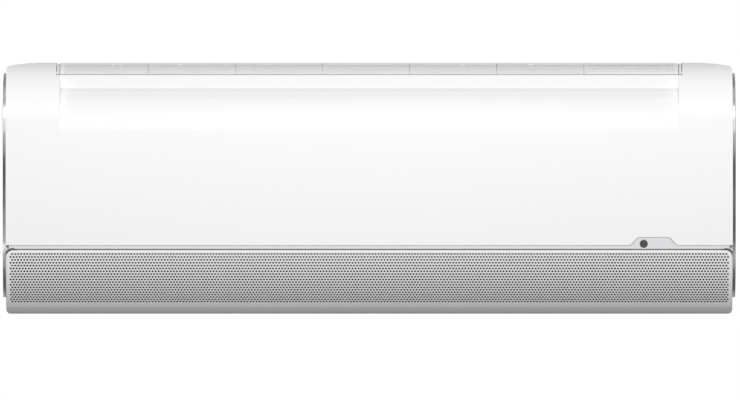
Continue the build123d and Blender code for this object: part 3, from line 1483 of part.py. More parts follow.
with BuildPart() as flap_motor:
    with BuildSketch(Plane.YZ.offset(partition_x + frame_wall + motor_gap)):
        with Locations((flap_hinge_y + flap_motor_offset[0], flap_hinge_z + flap_motor_offset[1])):
            Circle(flap_motor_radius)
    extrude(amount=flap_motor_depth)
flap_motor.part.label = "flap_motor"
export_step(flap_motor.part, "parts/flap_motor.step")

for leader_x, hand in zip(leader_xs, ("left", "right")):
    with BuildPart() as vane_motor:
        motor_origin = duct(vane_axis_along + vane_motor_along, -duct_height - sheet - motor_gap)
        with BuildSketch(Plane(origin=(leader_x, *motor_origin), x_dir=(1, 0, 0), z_dir=(0, *across))):
            Circle(vane_motor_radius)
            with Locations((0, vane_motor_along)):
                Circle(vane_pin_radius + running_fit, mode=Mode.SUBTRACT)
        extrude(amount=-vane_motor_depth)
    vane_motor.part.label = f"vane_motor_{hand}"
    export_step(vane_motor.part, f"parts/vane_motor_{hand}.step")

# ================================================================ air guide vanes and tie bars
vane_top = -1
vane_rear = -22
vane_front = 18
vane_top_rear = -3
vane_top_front = 16
vane_corner = -12
vane_back_knee = (-20, -40)
vane_back_waist = (-8, -20)
drive_pin_reach = 3.4
leader_pin_reach = 6
vane_names = [f"vane_{hand}_{n}" for hand in ("left", "right") for n in range(1, vane_count // 2 + 1)]

for vane_x, name in zip(vane_xs, vane_names):
    with BuildPart() as vane:
        with BuildSketch(Plane.YZ.offset(vane_x - vane_thickness / 2)):
            with BuildLine():
                Polyline(duct(vane_top_rear, vane_top), duct(vane_top_front, vane_top),
                         duct(vane_front, vane_corner), duct(vane_front, vane_low),
                         duct(vane_rear, vane_low), duct(*vane_back_knee), duct(*vane_back_waist),
                         close=True)
            make_face()
        extrude(amount=vane_thickness)
        with BuildSketch(Plane(origin=(vane_x, *duct(vane_axis_along, vane_top - vane_thickness)),
                               z_dir=(0, *across))):
            Circle(vane_pin_radius)
        extrude(amount=vane_thickness - vane_top + sheet - 2 * running_fit)
        with BuildSketch(Plane(origin=(vane_x, *duct(drive_along, vane_low + vane_thickness)),
                               z_dir=(0, *across))):
            Circle(drive_pin_radius)
        extrude(amount=-vane_thickness - bar_gap - drive_pin_reach + fit)
        if vane_x in leader_xs:
            with BuildSketch(Plane(origin=(vane_x, *duct(vane_axis_along, vane_low + vane_thickness)),
                                   z_dir=(0, *across))):
                Circle(vane_pin_radius)
            extrude(amount=-vane_thickness - duct_height - vane_low - sheet - leader_pin_reach)
    vane.part.label = name
    export_step(vane.part, f"parts/{name}.step")

bar_up = vane_low - bar_gap
bar_along = drive_along + drive_drift / 2
slot_width = 2 * (drive_pin_radius + bar_play)
slot_length = slot_width + drive_drift
bar_overhang = 10

for xs, hand in ((vane_xs[:vane_count // 2], "left"), (vane_xs[vane_count // 2:], "right")):
    with BuildPart() as tie_bar:
        with BuildSketch(Plane(origin=(xs[0], *duct(bar_along, bar_up)), x_dir=(1, 0, 0),
                               z_dir=(0, *across))):
            with Locations(((xs[-1] - xs[0]) / 2, 0)):
                RectangleRounded(xs[-1] - xs[0] + 2 * bar_overhang, bar_width, bar_width / 3)
            with Locations(*[(x - xs[0], 0) for x in xs]):
                RectangleRounded(slot_width, slot_length, slot_width / 2 - fit, mode=Mode.SUBTRACT)
        extrude(amount=-bar_thickness)
    tie_bar.part.label = f"tie_bar_{hand}"
    export_step(tie_bar.part, f"parts/tie_bar_{hand}.step")

# ================================================================ mounting plate
plate_width = 640
plate_base = 81
plate_height = 190
plate_low_z = low_z + plate_base
plate_high_z = plate_low_z + plate_height
plate_hole_radius = 2.5
plate_hole_rows = 3
plate_hole_columns = 8
plate_hole_step_x = 80
plate_hole_step_z = 60
plate_pressing = 4
hook_leg_top = hook_z - fit * 2
hook_front_y = back_front_y - 1.8
hook_lip = 8

with BuildPart() as mounting_plate:
    with BuildSketch(Plane.XZ):
        with Locations((0, (plate_low_z + plate_high_z) / 2)):
            RectangleRounded(plate_width, plate_high_z - plate_low_z, plate_pressing)
            with GridLocations(plate_hole_step_x, plate_hole_step_z, plate_hole_columns, plate_hole_rows):
                Circle(plate_hole_radius, mode=Mode.SUBTRACT)
    extrude(amount=plate_thickness)
    for hook_x in hook_xs:
        with BuildSketch(Plane.YZ.offset(hook_x - hook_width / 2)):
            add(span(-plate_thickness, 0, plate_high_z - 2 * plate_pressing, hook_leg_top))
            add(span(hook_front_y, 0, hook_leg_top - plate_thickness, hook_leg_top))
            add(span(hook_front_y - plate_thickness, hook_front_y, hook_leg_top - plate_thickness,
                     hook_leg_top + hook_lip))
        extrude(amount=hook_width)
mounting_plate.part.label = "mounting_plate"
export_step(mounting_plate.part, "parts/mounting_plate.step")

# ================================================================ screws and their covers
cover_width = 10
cover_height = 10
cover_pocket = 3.6
cover_top_wall = 0.8

with BuildPart() as frame_screws:
    with BuildSketch(Plane.XZ.offset(-rail_front_y)):
        with Locations(*[(x, screw_z) for x in screw_xs]):
            Circle(screw_head_radius)
    extrude(amount=screw_head_height)
    with BuildSketch(Plane.XZ.offset(-rail_front_y)):
        with Locations(*[(x, screw_z) for x in screw_xs]):
            Circle(screw_radius)
    extrude(amount=-screw_length)
frame_screws.part.label = "frame_screws"
export_step(frame_screws.part, "parts/frame_screws.step")

with BuildPart() as screw_covers:
    with BuildSketch(Plane.XZ.offset(-rail_front_y)):
        with Locations(*[(x, screw_z) for x in screw_xs]):
            RectangleRounded(cover_width, cover_height, screw_cover_wall)
    extrude(amount=screw_head_height + fit + cover_top_wall)
    with BuildSketch(Plane.XZ.offset(-rail_front_y)):
        with Locations(*[(x, screw_z) for x in screw_xs]):
            Circle(cover_pocket)
    extrude(amount=screw_head_height + fit, mode=Mode.SUBTRACT)
screw_covers.part.label = "screw_covers"
export_step(screw_covers.part, "parts/screw_covers.step")
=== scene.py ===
import json
import math
import bpy
import bmesh
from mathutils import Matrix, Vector


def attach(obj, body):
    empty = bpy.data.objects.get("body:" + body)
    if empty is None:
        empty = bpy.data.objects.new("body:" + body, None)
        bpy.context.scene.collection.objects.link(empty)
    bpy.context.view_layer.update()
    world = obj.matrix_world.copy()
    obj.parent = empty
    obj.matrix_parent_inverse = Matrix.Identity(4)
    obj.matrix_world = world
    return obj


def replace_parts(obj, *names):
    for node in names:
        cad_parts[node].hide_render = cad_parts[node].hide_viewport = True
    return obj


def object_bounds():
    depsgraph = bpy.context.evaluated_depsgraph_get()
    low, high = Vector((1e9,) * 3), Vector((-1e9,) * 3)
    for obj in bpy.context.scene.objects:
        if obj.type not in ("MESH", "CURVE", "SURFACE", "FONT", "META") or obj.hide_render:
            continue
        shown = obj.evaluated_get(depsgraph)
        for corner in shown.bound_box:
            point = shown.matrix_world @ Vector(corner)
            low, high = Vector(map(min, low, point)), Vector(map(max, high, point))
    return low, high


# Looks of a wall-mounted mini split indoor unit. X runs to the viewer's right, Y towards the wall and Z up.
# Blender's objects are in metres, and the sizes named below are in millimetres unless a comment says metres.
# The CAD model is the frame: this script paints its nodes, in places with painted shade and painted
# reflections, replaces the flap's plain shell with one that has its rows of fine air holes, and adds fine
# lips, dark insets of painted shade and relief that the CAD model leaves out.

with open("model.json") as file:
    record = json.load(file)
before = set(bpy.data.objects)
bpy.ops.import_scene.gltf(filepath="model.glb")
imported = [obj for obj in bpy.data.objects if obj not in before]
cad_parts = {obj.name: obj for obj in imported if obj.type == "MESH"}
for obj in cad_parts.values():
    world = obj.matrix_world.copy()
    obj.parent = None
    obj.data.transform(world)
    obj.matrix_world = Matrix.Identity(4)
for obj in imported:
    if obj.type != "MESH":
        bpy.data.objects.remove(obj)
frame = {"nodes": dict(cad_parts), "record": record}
cad_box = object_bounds()
nodes = frame["nodes"]
MM = 0.001

# ---------------------------------------------------------------- view of the photograph
PICTURE_WIDTH, PICTURE_HEIGHT = 740, 400    # pixels
MM_PER_PIXEL = 1.284
ZERO_X_PX, ZERO_Z_PX = 369.25, 187.85       # where the part's X = 0 and Z = 0 are in the photograph
CAMERA_DISTANCE = 20.0                      # metres to the part's foremost point
TRUE_SCALE_DEPTH = 0.04                     # metres behind that point, where the picture's scale holds
SENSOR_WIDTH = 36.0
CLIP_END = 100.0                            # metres

# ---------------------------------------------------------------- floor and light
FLOOR_DROP, FLOOR_REACH = 0.7, 4.0          # metres, down from the unit and out from the middle
FLOOR_GREY, FLOOR_BOUNCE_GREY = 0.82, 0.30  # to the camera, and to the light that it throws back
AMBIENT = 0.06                              # the world's strength as light; where it is seen, it is white

# ---------------------------------------------------------------- flap, on the CAD model's arc
FLAP_CENTRE_Y, FLAP_CENTRE_Z, FLAP_RADIUS = -81.353, -72.624, 109.0
FLAP_WALL = 3.5
FLAP_TOP_Z, FLAP_LOW_Z = -80.0, -162.2      # before the edges are rounded off
FLAP_HALF_WIDTH = 466.0
FLAP_CORNER_TOP, FLAP_CORNER_LOW, FLAP_CORNER_REACH = 9.5, 2.8, 12.0
FLAP_EDGE_ROUND = 1.1
EDGE_LINES = (0, 0.16, 0.5, FLAP_EDGE_ROUND)    # how far in from an edge the grid lines lie
SIDE_LINES = EDGE_LINES + (2.4,)
SQUEEZE_WIDTH = 16.0                        # the grid follows the rounded corners over this width
LOWER_BAND_STEPS = 5                        # grid lines between the last holes and the low edge

# ---------------------------------------------------------------- rows of air holes
HOLE_ROWS = 19
HOLES_IN_WIDE_ROW = 236                     # every second row; the rows between them have one less
HOLE_PITCH_X, HOLE_PITCH_ARC = 3.913, 3.785
HOLE_RADIUS = 1.40
HOLE_CORNERS, HOLE_FIRST_TURN = 6, 150      # the first corner's turn in degrees
FIRST_ROW_Z = -84.85

# ---------------------------------------------------------------- casing's front, as in the CAD model
FACE_CENTRE_Y, FACE_CENTRE_Z, FACE_RADIUS = 1207.0, 10.0, 1400.0
SHOULDER_CENTRE_Y, SHOULDER_CENTRE_Z, SHOULDER_RADIUS = -115.532, 85.697, 75.303
STRIP_HALF, STRIP_LOW_Z, STRIP_HIGH_Z = 462.0, -77.9, -74.6
BUMP_X, BUMP_HALF_BASE, BUMP_HALF_TOP, BUMP_HEIGHT, BUMP_ROUND = 364.5, 29.0, 19.5, 10.6, 7.0
FILTER_HALF, FILTER_INSET, FILTER_BORDER = 396.8, 1.6, 5.0
FILTER_FRONT_Z, FILTER_STRIP_REAR_Y = 145.6, -112.98
LAST_BAY_X = 275.6

# ---------------------------------------------------------------- fine pieces that the CAD model leaves out
SHARP_ANGLE = math.radians(40)
UPPER_LIP_CLEAR, LOWER_LIP_CLEAR = 0.2, 0.05
LIP_WIDTH, LIP_INSET, LIP_DEPTH = 0.65, 0.6, 1.6
# sizes of the dark sheets of painted shade in the joint at the flap's top corners
GAP_RUN, GAP_WIDTH, GAP_TURN, GAP_STEPS = 6.0, 2.9, math.radians(72), 12
GAP_CLEAR, GAP_PROUD, GAP_DEPTH = 0.2, 0.15, 2.0
LEDGE_Z, LEDGE_WIDTH, LEDGE_PROUD = 148.4, 0.9, 0.45
TAB_XS, TAB_Z = (-328.6, -320.4, -243.0, 120.0, 208.0), 158.1
TAB_LENGTH, TAB_WIDTH, TAB_PROUD = 4.5, 1.35, 0.6
BAR_SINK = 0.3                              # how deep a raised bar's foot goes into the filter
BAR_FLANK, BAR_FLANK_PROUD = 0.8, 0.7       # its flanks, as shares of its half width and its rise
RIB_FIRST_X, RIB_PITCH, RIB_COUNT, RIB_STEPS = -283.4, 111.8, 6, 10
RIB_WIDTH, RIB_TOP_SHARE, RIB_PROUD = 1.4, 0.7, 0.5
CREST_FRONT_Y, CREST_DEPTH, CREST_LOW_Z, CREST_HIGH_Z, CREST_CHAMFER = -114.1, 1.5, 158.0, 160.95, 0.4
SCREEN_INSET, SCREEN_THICKNESS, SCREEN_STEPS = 2.2, 0.3, 10

# ---------------------------------------------------------------- painted reflections and painted shade by height, as pairs of Z and grey
TRIM_LOW_Z, TRIM_HIGH_Z = -142.0, 150.0
# the bright trim's painted reflections: dark and light bands, painted by height, one set for each side strip
TRIM_REFLECTION_TONES_LOW = ((-139, 0.70), (-128, 0.20), (-118, 0.18), (-108, 0.24), (-97, 0.42), (-87, 0.40))
TRIM_REFLECTION_TONES_HIGH = ((15, 0.065), (25, 0.06), (36, 0.075), (46, 0.13), (56, 0.165), (67, 0.18), (77, 0.29),
                   (92, 0.30), (99, 0.25), (107, 0.31), (118, 0.39), (132, 0.20), (146, 0.22))
TRIM_REFLECTION_TONES_LEFT = TRIM_REFLECTION_TONES_LOW + ((-77, 0.76), (-66, 0.34), (-38, 0.22), (-15, 0.12)) + TRIM_REFLECTION_TONES_HIGH
TRIM_REFLECTION_TONES_RIGHT = TRIM_REFLECTION_TONES_LOW + ((-77, 0.22), (-66, 0.115), (-50, 0.085), (-15, 0.11)) + TRIM_REFLECTION_TONES_HIGH
# painted shade on the flap's plain lower band, which faces down
LOWER_BAND_SHADE_TONES = ((-162, 0.93), (-159, 0.88), (-154, 0.85), (-152, 1.0))
LOWER_BAND_SHADE_MARGIN = 1.0                     # the tones run on past the flap's low edge and ends
# painted shade in the fold under the front panel's top band, within CREASE_HALF of the middle
CREASE_HALF, CREASE_LOW_Z, CREASE_HIGH_Z = 397.0, 90.0, 150.0
CREASE_SHADE_TONES = ((95, 1.0), (113, 0.97), (117, 0.925), (123, 0.92), (124.5, 0.845), (127.5, 0.84),
                (128.5, 0.955))


# ================================================================ materials
MIX_FIRST, MIX_SECOND, MIX_RESULT = 6, 7, 2     # the Mix node's colour sockets, whose names repeat
WHITE = (1, 1, 1, 1)


class Nodes:
    """Short ways to add nodes to a tree."""

    def __init__(self, tree):
        self.tree = tree

    def feed(self, socket, value):
        """Links an input to another node's output, or sets it to a plain number, colour or vector."""
        if isinstance(value, bpy.types.NodeSocket):
            self.tree.links.new(value, socket)
        else:
            socket.default_value = value

    def node(self, kind, inputs=None, **settings):
        """A new node with its settings, and its inputs by name or number."""
        node = self.tree.nodes.new(kind)
        for name, value in settings.items():
            setattr(node, name, value)
        for name, value in (inputs or {}).items():
            self.feed(node.inputs[name], value)
        return node

    def arithmetic(self, operation, *values):
        """The outcome of one sum or comparison."""
        return self.node("ShaderNodeMath", dict(enumerate(values)), operation=operation).outputs[0]

    def remapped(self, value, from_range=(0, 1), to_range=(0, 1)):
        """A value carried from one range to another, and held inside it."""
        inputs = {"Value": value, "From Min": from_range[0], "From Max": from_range[1],
                  "To Min": to_range[0], "To Max": to_range[1]}
        return self.node("ShaderNodeMapRange", inputs).outputs["Result"]

    def mixed(self, share, first, second, blend="MIX"):
        """Two colours mixed by a share."""
        inputs = {"Factor": share, MIX_FIRST: first, MIX_SECOND: second}
        return self.node("ShaderNodeMix", inputs, data_type="RGBA", blend_type=blend).outputs[MIX_RESULT]


class Paint(Nodes):
    """One material: its colour's changes, its roughness and its fine relief, all in object space."""

    def __init__(self, name, colour, roughness, metallic=0.0, specular=0.5):
        self.name = name
        self.colour = colour
        self.relief = None
        self.material = bpy.data.materials.new(name)
        self.material.use_nodes = True
        self.material.diffuse_color = (*colour, 1)
        super().__init__(self.material.node_tree)
        self.shader = self.tree.nodes["Principled BSDF"]
        self.dress("Metallic", metallic)
        self.dress("Roughness", roughness)
        self.dress("Base Color", (*colour, 1))
        self.dress("Specular IOR Level", specular)
        self.place = self.node("ShaderNodeTexCoord").outputs["Object"]

    def dress(self, socket, value):
        """Sets or links one of the shader's inputs."""
        self.feed(self.shader.inputs[socket], value)
        return self

    def noise(self, scale, detail=3.0, stretch=(1, 1, 1)):
        """Soft noise, finer along an axis with a larger stretch."""
        mapping = self.node("ShaderNodeMapping", {"Vector": self.place, "Scale": stretch})
        inputs = {"Vector": mapping.outputs["Vector"], "Scale": scale, "Detail": detail}
        return self.node("ShaderNodeTexNoise", inputs).outputs["Fac"]

    def bands(self, pitch, axis):
        """Even stripes across one axis, at a pitch in metres."""
        inputs = {"Vector": self.place, "Scale": math.pi / (10 * pitch)}
        return self.node("ShaderNodeTexWave", inputs, bands_direction=axis, wave_profile="SIN").outputs["Fac"]

    def cells(self, scale):
        """Patches of one colour each."""
        return self.node("ShaderNodeTexVoronoi", {"Vector": self.place, "Scale": scale}).outputs["Color"]

    def ramp(self, source, low, high, start, stop):
        """A change between two colours, driven by a texture."""
        ramp = self.node("ShaderNodeValToRGB", {"Fac": source})
        for element, position, colour in zip(ramp.color_ramp.elements, (start, stop), (low, high)):
            element.position = position
            element.color = (*colour, 1)
        return ramp.outputs["Color"]

    def height_ramp(self, height, low_z, high_z, tones, interpolation="LINEAR"):
        """Greys by a height in metres; the tones and their limits are in mm."""
        ramp = self.node("ShaderNodeValToRGB", {"Fac": self.remapped(height, (low_z * MM, high_z * MM))})
        ramp.color_ramp.interpolation = interpolation
        stops = ramp.color_ramp.elements
        for z, grey in tones:
            stop = stops.new((z - low_z) / (high_z - low_z))
            stop.color = (grey, grey, grey, 1)
        stops.remove(stops[0])
        stops.remove(stops[-1])
        return ramp.outputs["Color"]

    def place_parts(self):
        """X, Y and Z of the surface in metres."""
        return self.node("ShaderNodeSeparateXYZ", {"Vector": self.place}).outputs

    def mottle(self, source, spread, start=0.3, stop=0.7):
        """The base colour wanders by a share of itself either way."""
        low = [max(c * (1 - spread), 0) for c in self.colour]
        high = [min(c * (1 + spread), 1) for c in self.colour]
        return self.dress("Base Color", self.ramp(source, low, high, start, stop))

    def two_tone(self, source, other, start, stop):
        """The base colour and another one take turns."""
        return self.dress("Base Color", self.ramp(source, self.colour, other, start, stop))

    def painted_shade_by_height(self, low_z, high_z, tones, half_width):
        """Paints shade into the colour by height, within a distance from the middle; all in mm."""
        plain = self.shader.inputs["Base Color"].links[0].from_socket
        place = self.place_parts()
        from_middle = self.arithmetic("ABSOLUTE", place["X"])
        inside = self.arithmetic("LESS_THAN", from_middle, half_width * MM)
        painted_shade = self.height_ramp(place["Z"], low_z, high_z, tones)
        return self.dress("Base Color", self.mixed(inside, plain, painted_shade, "MULTIPLY"))

    def rough_between(self, source, low, high):
        """The roughness wanders between two values."""
        return self.dress("Roughness", self.remapped(source, to_range=(low, high)))

    def bump(self, source, height, strength):
        """Fine relief, its height in metres, laid over any relief so far."""
        inputs = {"Height": source, "Distance": height, "Strength": strength}
        if self.relief:
            inputs["Normal"] = self.relief
        self.relief = self.node("ShaderNodeBump", inputs).outputs["Normal"]
        return self.dress("Normal", self.relief)

    def soft_edges(self, radius):
        """Edges catch the light as if rounded by this radius, in metres."""
        self.relief = self.node("ShaderNodeBevel", {"Radius": radius}, samples=6).outputs["Normal"]
        return self.dress("Normal", self.relief)


def gloss_plastic(name, colour, roughness, edge=0.5 * MM, specular=0.5):
    """Injection-moulded gloss plastic with a faint orange peel."""
    paint = Paint(name, colour, roughness, specular=specular).soft_edges(edge)
    paint.mottle(paint.noise(scale=3.0), spread=0.006)
    paint.rough_between(paint.noise(scale=14.0), low=roughness * 0.85, high=roughness * 1.2)
    return paint.bump(paint.noise(scale=380.0, detail=2.0), height=0.01 * MM, strength=0.25)


def matte_plastic(name, colour, roughness=0.5, grain=1400.0, edge=0.4 * MM, specular=0.5):
    """Moulded plastic with a fine spark-eroded grain."""
    paint = Paint(name, colour, roughness, specular=specular).soft_edges(edge)
    paint.mottle(paint.noise(scale=22.0), spread=0.025)
    paint.rough_between(paint.noise(scale=40.0), low=roughness * 0.9, high=min(roughness * 1.12, 1))
    return paint.bump(paint.noise(grain, detail=2.0), height=0.03 * MM, strength=0.5)


def sheet_steel(name, colour, roughness=0.38):
    """Galvanised or plated sheet with its spangle."""
    paint = Paint(name, colour, roughness, metallic=1.0).soft_edges(0.3 * MM)
    paint.mottle(paint.cells(scale=140.0), spread=0.08, start=0.1, stop=0.9)
    paint.rough_between(paint.noise(scale=60.0), low=roughness * 0.8, high=roughness * 1.25)
    return paint.bump(paint.noise(scale=900.0, detail=2.0), height=0.01 * MM, strength=0.4)


def turned_metal(name, colour, roughness=0.28):
    """Machined or drawn metal, with fine marks along X."""
    paint = Paint(name, colour, roughness, metallic=1.0).soft_edges(0.2 * MM)
    paint.mottle(paint.noise(scale=60.0, detail=4.0, stretch=(0.2, 1, 1)), spread=0.1)
    marks = paint.noise(scale=500.0, detail=2.0, stretch=(0.05, 1, 1))
    return paint.rough_between(marks, low=roughness * 0.8, high=roughness * 1.4)


def brushed_trim():
    """Bright strip brushed along its length, with painted reflections: bands dark and light by turns by
    height, as a polished edge shows the room.
    """
    paint = Paint("trim_silver", (0.3, 0.3, 0.3), roughness=0.3, metallic=1.0)
    place = paint.place_parts()
    left, right = [paint.height_ramp(place["Z"], TRIM_LOW_Z, TRIM_HIGH_Z, tones, interpolation="EASE")
                   for tones in (TRIM_REFLECTION_TONES_LEFT, TRIM_REFLECTION_TONES_RIGHT)]
    on_right = paint.arithmetic("GREATER_THAN", place["X"], 0.0)
    # painted reflections by height, one ramp for each side strip
    paint.dress("Base Color", paint.mixed(on_right, left, right))
    along = (1, 0.02, 0.02)
    paint.rough_between(paint.noise(scale=2600.0, detail=2.0, stretch=along), low=0.22, high=0.4)
    return paint.bump(paint.noise(scale=3000.0, detail=2.0, stretch=along), height=0.01 * MM, strength=0.4)


def coil_fins():
    """Stacked fins 1.3 mm apart in pale blue hydrophilic coating, as stripes: light on their edges, with
    painted shade between them.
    """
    paint = Paint("fins", (0.30, 0.42, 0.52), roughness=0.36, metallic=0.85)
    fins = paint.bands(1.3 * MM, "X")
    paint.two_tone(fins, (0.72, 0.82, 0.88), start=0.35, stop=0.75)
    return paint.bump(fins, height=0.5 * MM, strength=0.8)


def filter_mesh():
    """Woven nylon net, open between its threads."""
    paint = Paint("filter_mesh", (0.93, 0.93, 0.94), roughness=0.55, specular=0.12)
    threads = paint.arithmetic("MAXIMUM", paint.bands(1.1 * MM, "X"), paint.bands(1.1 * MM, "Y"))
    paint.two_tone(threads, (0.95, 0.95, 0.96), start=0.3, stop=0.8)
    paint.dress("Alpha", paint.remapped(threads, (0.45, 0.6), (0.55, 1.0)))
    return paint.bump(threads, height=0.12 * MM, strength=0.8)


def circuit_board():
    """Green solder mask with its tracks showing as faint relief."""
    paint = Paint("board_green", (0.03, 0.16, 0.07), roughness=0.3)
    tracks = paint.cells(scale=260.0)
    paint.two_tone(tracks, (0.06, 0.26, 0.12), start=0.45, stop=0.55)
    return paint.bump(tracks, height=0.05 * MM, strength=0.5)


def drawn_copper():
    """Drawn copper, slightly tarnished in patches."""
    paint = Paint("copper", (0.62, 0.27, 0.15), roughness=0.3, metallic=1.0)
    paint.two_tone(paint.noise(scale=35.0, detail=4.0), (0.80, 0.44, 0.30), start=0.35, stop=0.65)
    return paint.rough_between(paint.noise(scale=90.0), low=0.2, high=0.42)


def panel_plastic():
    """The front panel's gloss plastic, with painted shade in the fold under its top band."""
    paint = gloss_plastic("panel_white", (0.90, 0.90, 0.905), 0.45, edge=0.3 * MM, specular=0.25)
    return paint.painted_shade_by_height(CREASE_LOW_Z, CREASE_HIGH_Z, CREASE_SHADE_TONES, CREASE_HALF)


def flap_plastic():
    """The flap's plastic, with painted shade along the plain band under its holes, which faces down."""
    paint = gloss_plastic("flap_white", (0.82, 0.825, 0.83), 0.3, edge=0.15 * MM, specular=0.3)
    return paint.painted_shade_by_height(FLAP_LOW_Z - LOWER_BAND_SHADE_MARGIN, FLAP_TOP_Z, LOWER_BAND_SHADE_TONES,
                       FLAP_HALF_WIDTH + LOWER_BAND_SHADE_MARGIN)


PAINTS = (
    panel_plastic(),
    gloss_plastic("casing_white", (0.80, 0.80, 0.81), 0.28),
    flap_plastic(),
    gloss_plastic("strip_white", (0.74, 0.745, 0.76), 0.25),
    gloss_plastic("lens_dark", (0.05, 0.05, 0.055), 0.08, edge=1.2 * MM),
    gloss_plastic("button_white", (0.82, 0.82, 0.80), 0.25),
    matte_plastic("grille_white", (0.72, 0.72, 0.73)),
    matte_plastic("filter_plastic", (0.93, 0.93, 0.94), 0.45, specular=0.12),
    matte_plastic("chassis_plastic", (0.70, 0.70, 0.69), 0.55),
    matte_plastic("louver_plastic", (0.74, 0.74, 0.75), 0.42),
    matte_plastic("vane_plastic", (0.07, 0.072, 0.08), 0.5),
    matte_plastic("wheel_plastic", (0.012, 0.012, 0.014), 0.45),
    matte_plastic("drain_plastic", (0.45, 0.46, 0.47), 0.5),
    matte_plastic("terminal_black", (0.02, 0.02, 0.022), 0.45),
    matte_plastic("bush_rubber", (0.02, 0.02, 0.02), 0.8, grain=500.0),
    matte_plastic("motor_coat", (0.60, 0.60, 0.58), 0.5, grain=300.0),
    sheet_steel("galvanised", (0.55, 0.57, 0.58)),
    sheet_steel("stepper_steel", (0.62, 0.62, 0.62), 0.3),
    turned_metal("screw_steel", (0.58, 0.58, 0.56)),
    turned_metal("shaft_steel", (0.62, 0.62, 0.63)),
    turned_metal("nut_brass", (0.76, 0.56, 0.24)),
    brushed_trim(),
    coil_fins(),
    filter_mesh(),
    circuit_board(),
    drawn_copper(),
)
FINISHES = {paint.name: paint for paint in PAINTS}
# near-black for the holes' walls: painted shade, as the walls are of the flap's white plastic
HOLE_PAINTED_SHADE = matte_plastic("hole_painted_shade", (0.03, 0.03, 0.032), 0.7)
# a shaded grey of the filter's white plastic: painted shade on the filter's ribs and crest
RELIEF_PAINTED_SHADE = matte_plastic("relief_painted_shade", (0.60, 0.60, 0.61), 0.6, edge=0.1 * MM, specular=0.1)
slot_of = {row["node"]: row["material_slot"] for row in frame["record"]["subparts"]}
for name, node in nodes.items():
    node.data.materials.clear()
    node.data.materials.append(FINISHES[slot_of[name]].material)


# ================================================================ ways to build a piece
def add_object(name, data):
    """A new object in the scene."""
    added = bpy.data.objects.new(name, data)
    bpy.context.scene.collection.objects.link(added)
    return added


def solid_piece(name, points, faces, body, slot, paint=None):
    """Closed shells in metres that ride on a body, with their slot's finish or another paint."""
    mesh = bpy.data.meshes.new(name)
    mesh.from_pydata(points, [], faces)
    piece = add_object(name, mesh)
    shape = bmesh.new()
    shape.from_mesh(mesh)
    bmesh.ops.recalc_face_normals(shape, faces=shape.faces)
    for face in shape.faces:
        face.smooth = True
    for edge in shape.edges:
        edge.smooth = len(edge.link_faces) == 2 and edge.calc_face_angle(0) < SHARP_ANGLE
    shape.to_mesh(mesh)
    shape.free()
    mesh.materials.append((paint or FINISHES[slot]).material)
    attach(piece, body)
    return piece


def belt(near, far):
    """Quads between two closed rings of points, given by number."""
    count = len(near)
    return [(near[n], near[(n + 1) % count], far[(n + 1) % count], far[n]) for n in range(count)]


def bar_piece(name, bars, body, slot, paint=None):
    """One piece of capped bars; a bar is a row of rings of points in mm, all with as many corners."""
    points, faces = [], []
    for rings in bars:
        numbers = []
        for ring in rings:
            numbers.append(range(len(points), len(points) + len(ring)))
            points += [tuple(c * MM for c in point) for point in ring]
        for near, far in zip(numbers, numbers[1:]):
            faces += belt(near, far)
        faces += [tuple(numbers[0]), tuple(numbers[-1])]
    return solid_piece(name, points, faces, body, slot, paint)


def along_x(section, x_from, x_to):
    """The two rings of a bar along X, from its section's points of Y and Z."""
    return [[(x, y, z) for y, z in section] for x in (x_from, x_to)]


def face_y(z):
    """Y of the casing's front face at a height."""
    return FACE_CENTRE_Y - math.sqrt(FACE_RADIUS ** 2 - (z - FACE_CENTRE_Z) ** 2)


def on_shoulder(angle, inset):
    """Y and Z of a point inside the casing's top shoulder, with the angle up from straight ahead."""
    radius = SHOULDER_RADIUS - inset
    return (SHOULDER_CENTRE_Y - radius * math.cos(angle), SHOULDER_CENTRE_Z + radius * math.sin(angle))


def shoulder_angle(z, inset):
    """The angle at which a point inside the top shoulder reaches a height."""
    return math.asin((z - SHOULDER_CENTRE_Z) / (SHOULDER_RADIUS - inset))


# ================================================================ perforated flap
def flap_z(angle, radius=FLAP_RADIUS):
    """Z of a point of the flap's arc, with the angle up from straight ahead."""
    return FLAP_CENTRE_Z + radius * math.sin(angle)


def flap_angle(z):
    """The angle at which the flap's arc reaches a height."""
    return math.asin((z - FLAP_CENTRE_Z) / FLAP_RADIUS)


def flap_half_width(z):
    """Half the flap's width at a height, with its rounded corners."""
    reach, height, height_in = FLAP_CORNER_TOP, FLAP_CORNER_TOP, FLAP_TOP_Z - z
    if z - FLAP_LOW_Z < FLAP_CORNER_LOW:
        reach, height, height_in = FLAP_CORNER_REACH, FLAP_CORNER_LOW, z - FLAP_LOW_Z
    short = max(1 - height_in / height, 0)
    return FLAP_HALF_WIDTH - reach + reach * math.sqrt(1 - short ** 2)


def flap_depth_in(x, z):
    """How far a point of the flap's front view lies inside its rounded outline."""
    corner = FLAP_CORNER_TOP if z > (FLAP_TOP_Z + FLAP_LOW_Z) / 2 else FLAP_CORNER_LOW
    side = FLAP_HALF_WIDTH - corner - abs(x)
    end = min(FLAP_TOP_Z - z, z - FLAP_LOW_Z) - corner
    if side < 0 and end < 0:
        return corner - math.hypot(side, end)
    return min(side, end) + corner


def flap_point(x, angle, inner):
    """A point of the flap's outer or inner face in metres, the outer one rounded off along its edges."""
    radius = FLAP_RADIUS
    if inner:
        radius -= FLAP_WALL
    else:
        short = max(FLAP_EDGE_ROUND - flap_depth_in(x, flap_z(angle)), 0)
        radius -= FLAP_EDGE_ROUND - math.sqrt(max(FLAP_EDGE_ROUND ** 2 - short ** 2, 0))
    return (x * MM, (FLAP_CENTRE_Y - radius * math.cos(angle)) * MM, flap_z(angle, radius) * MM)


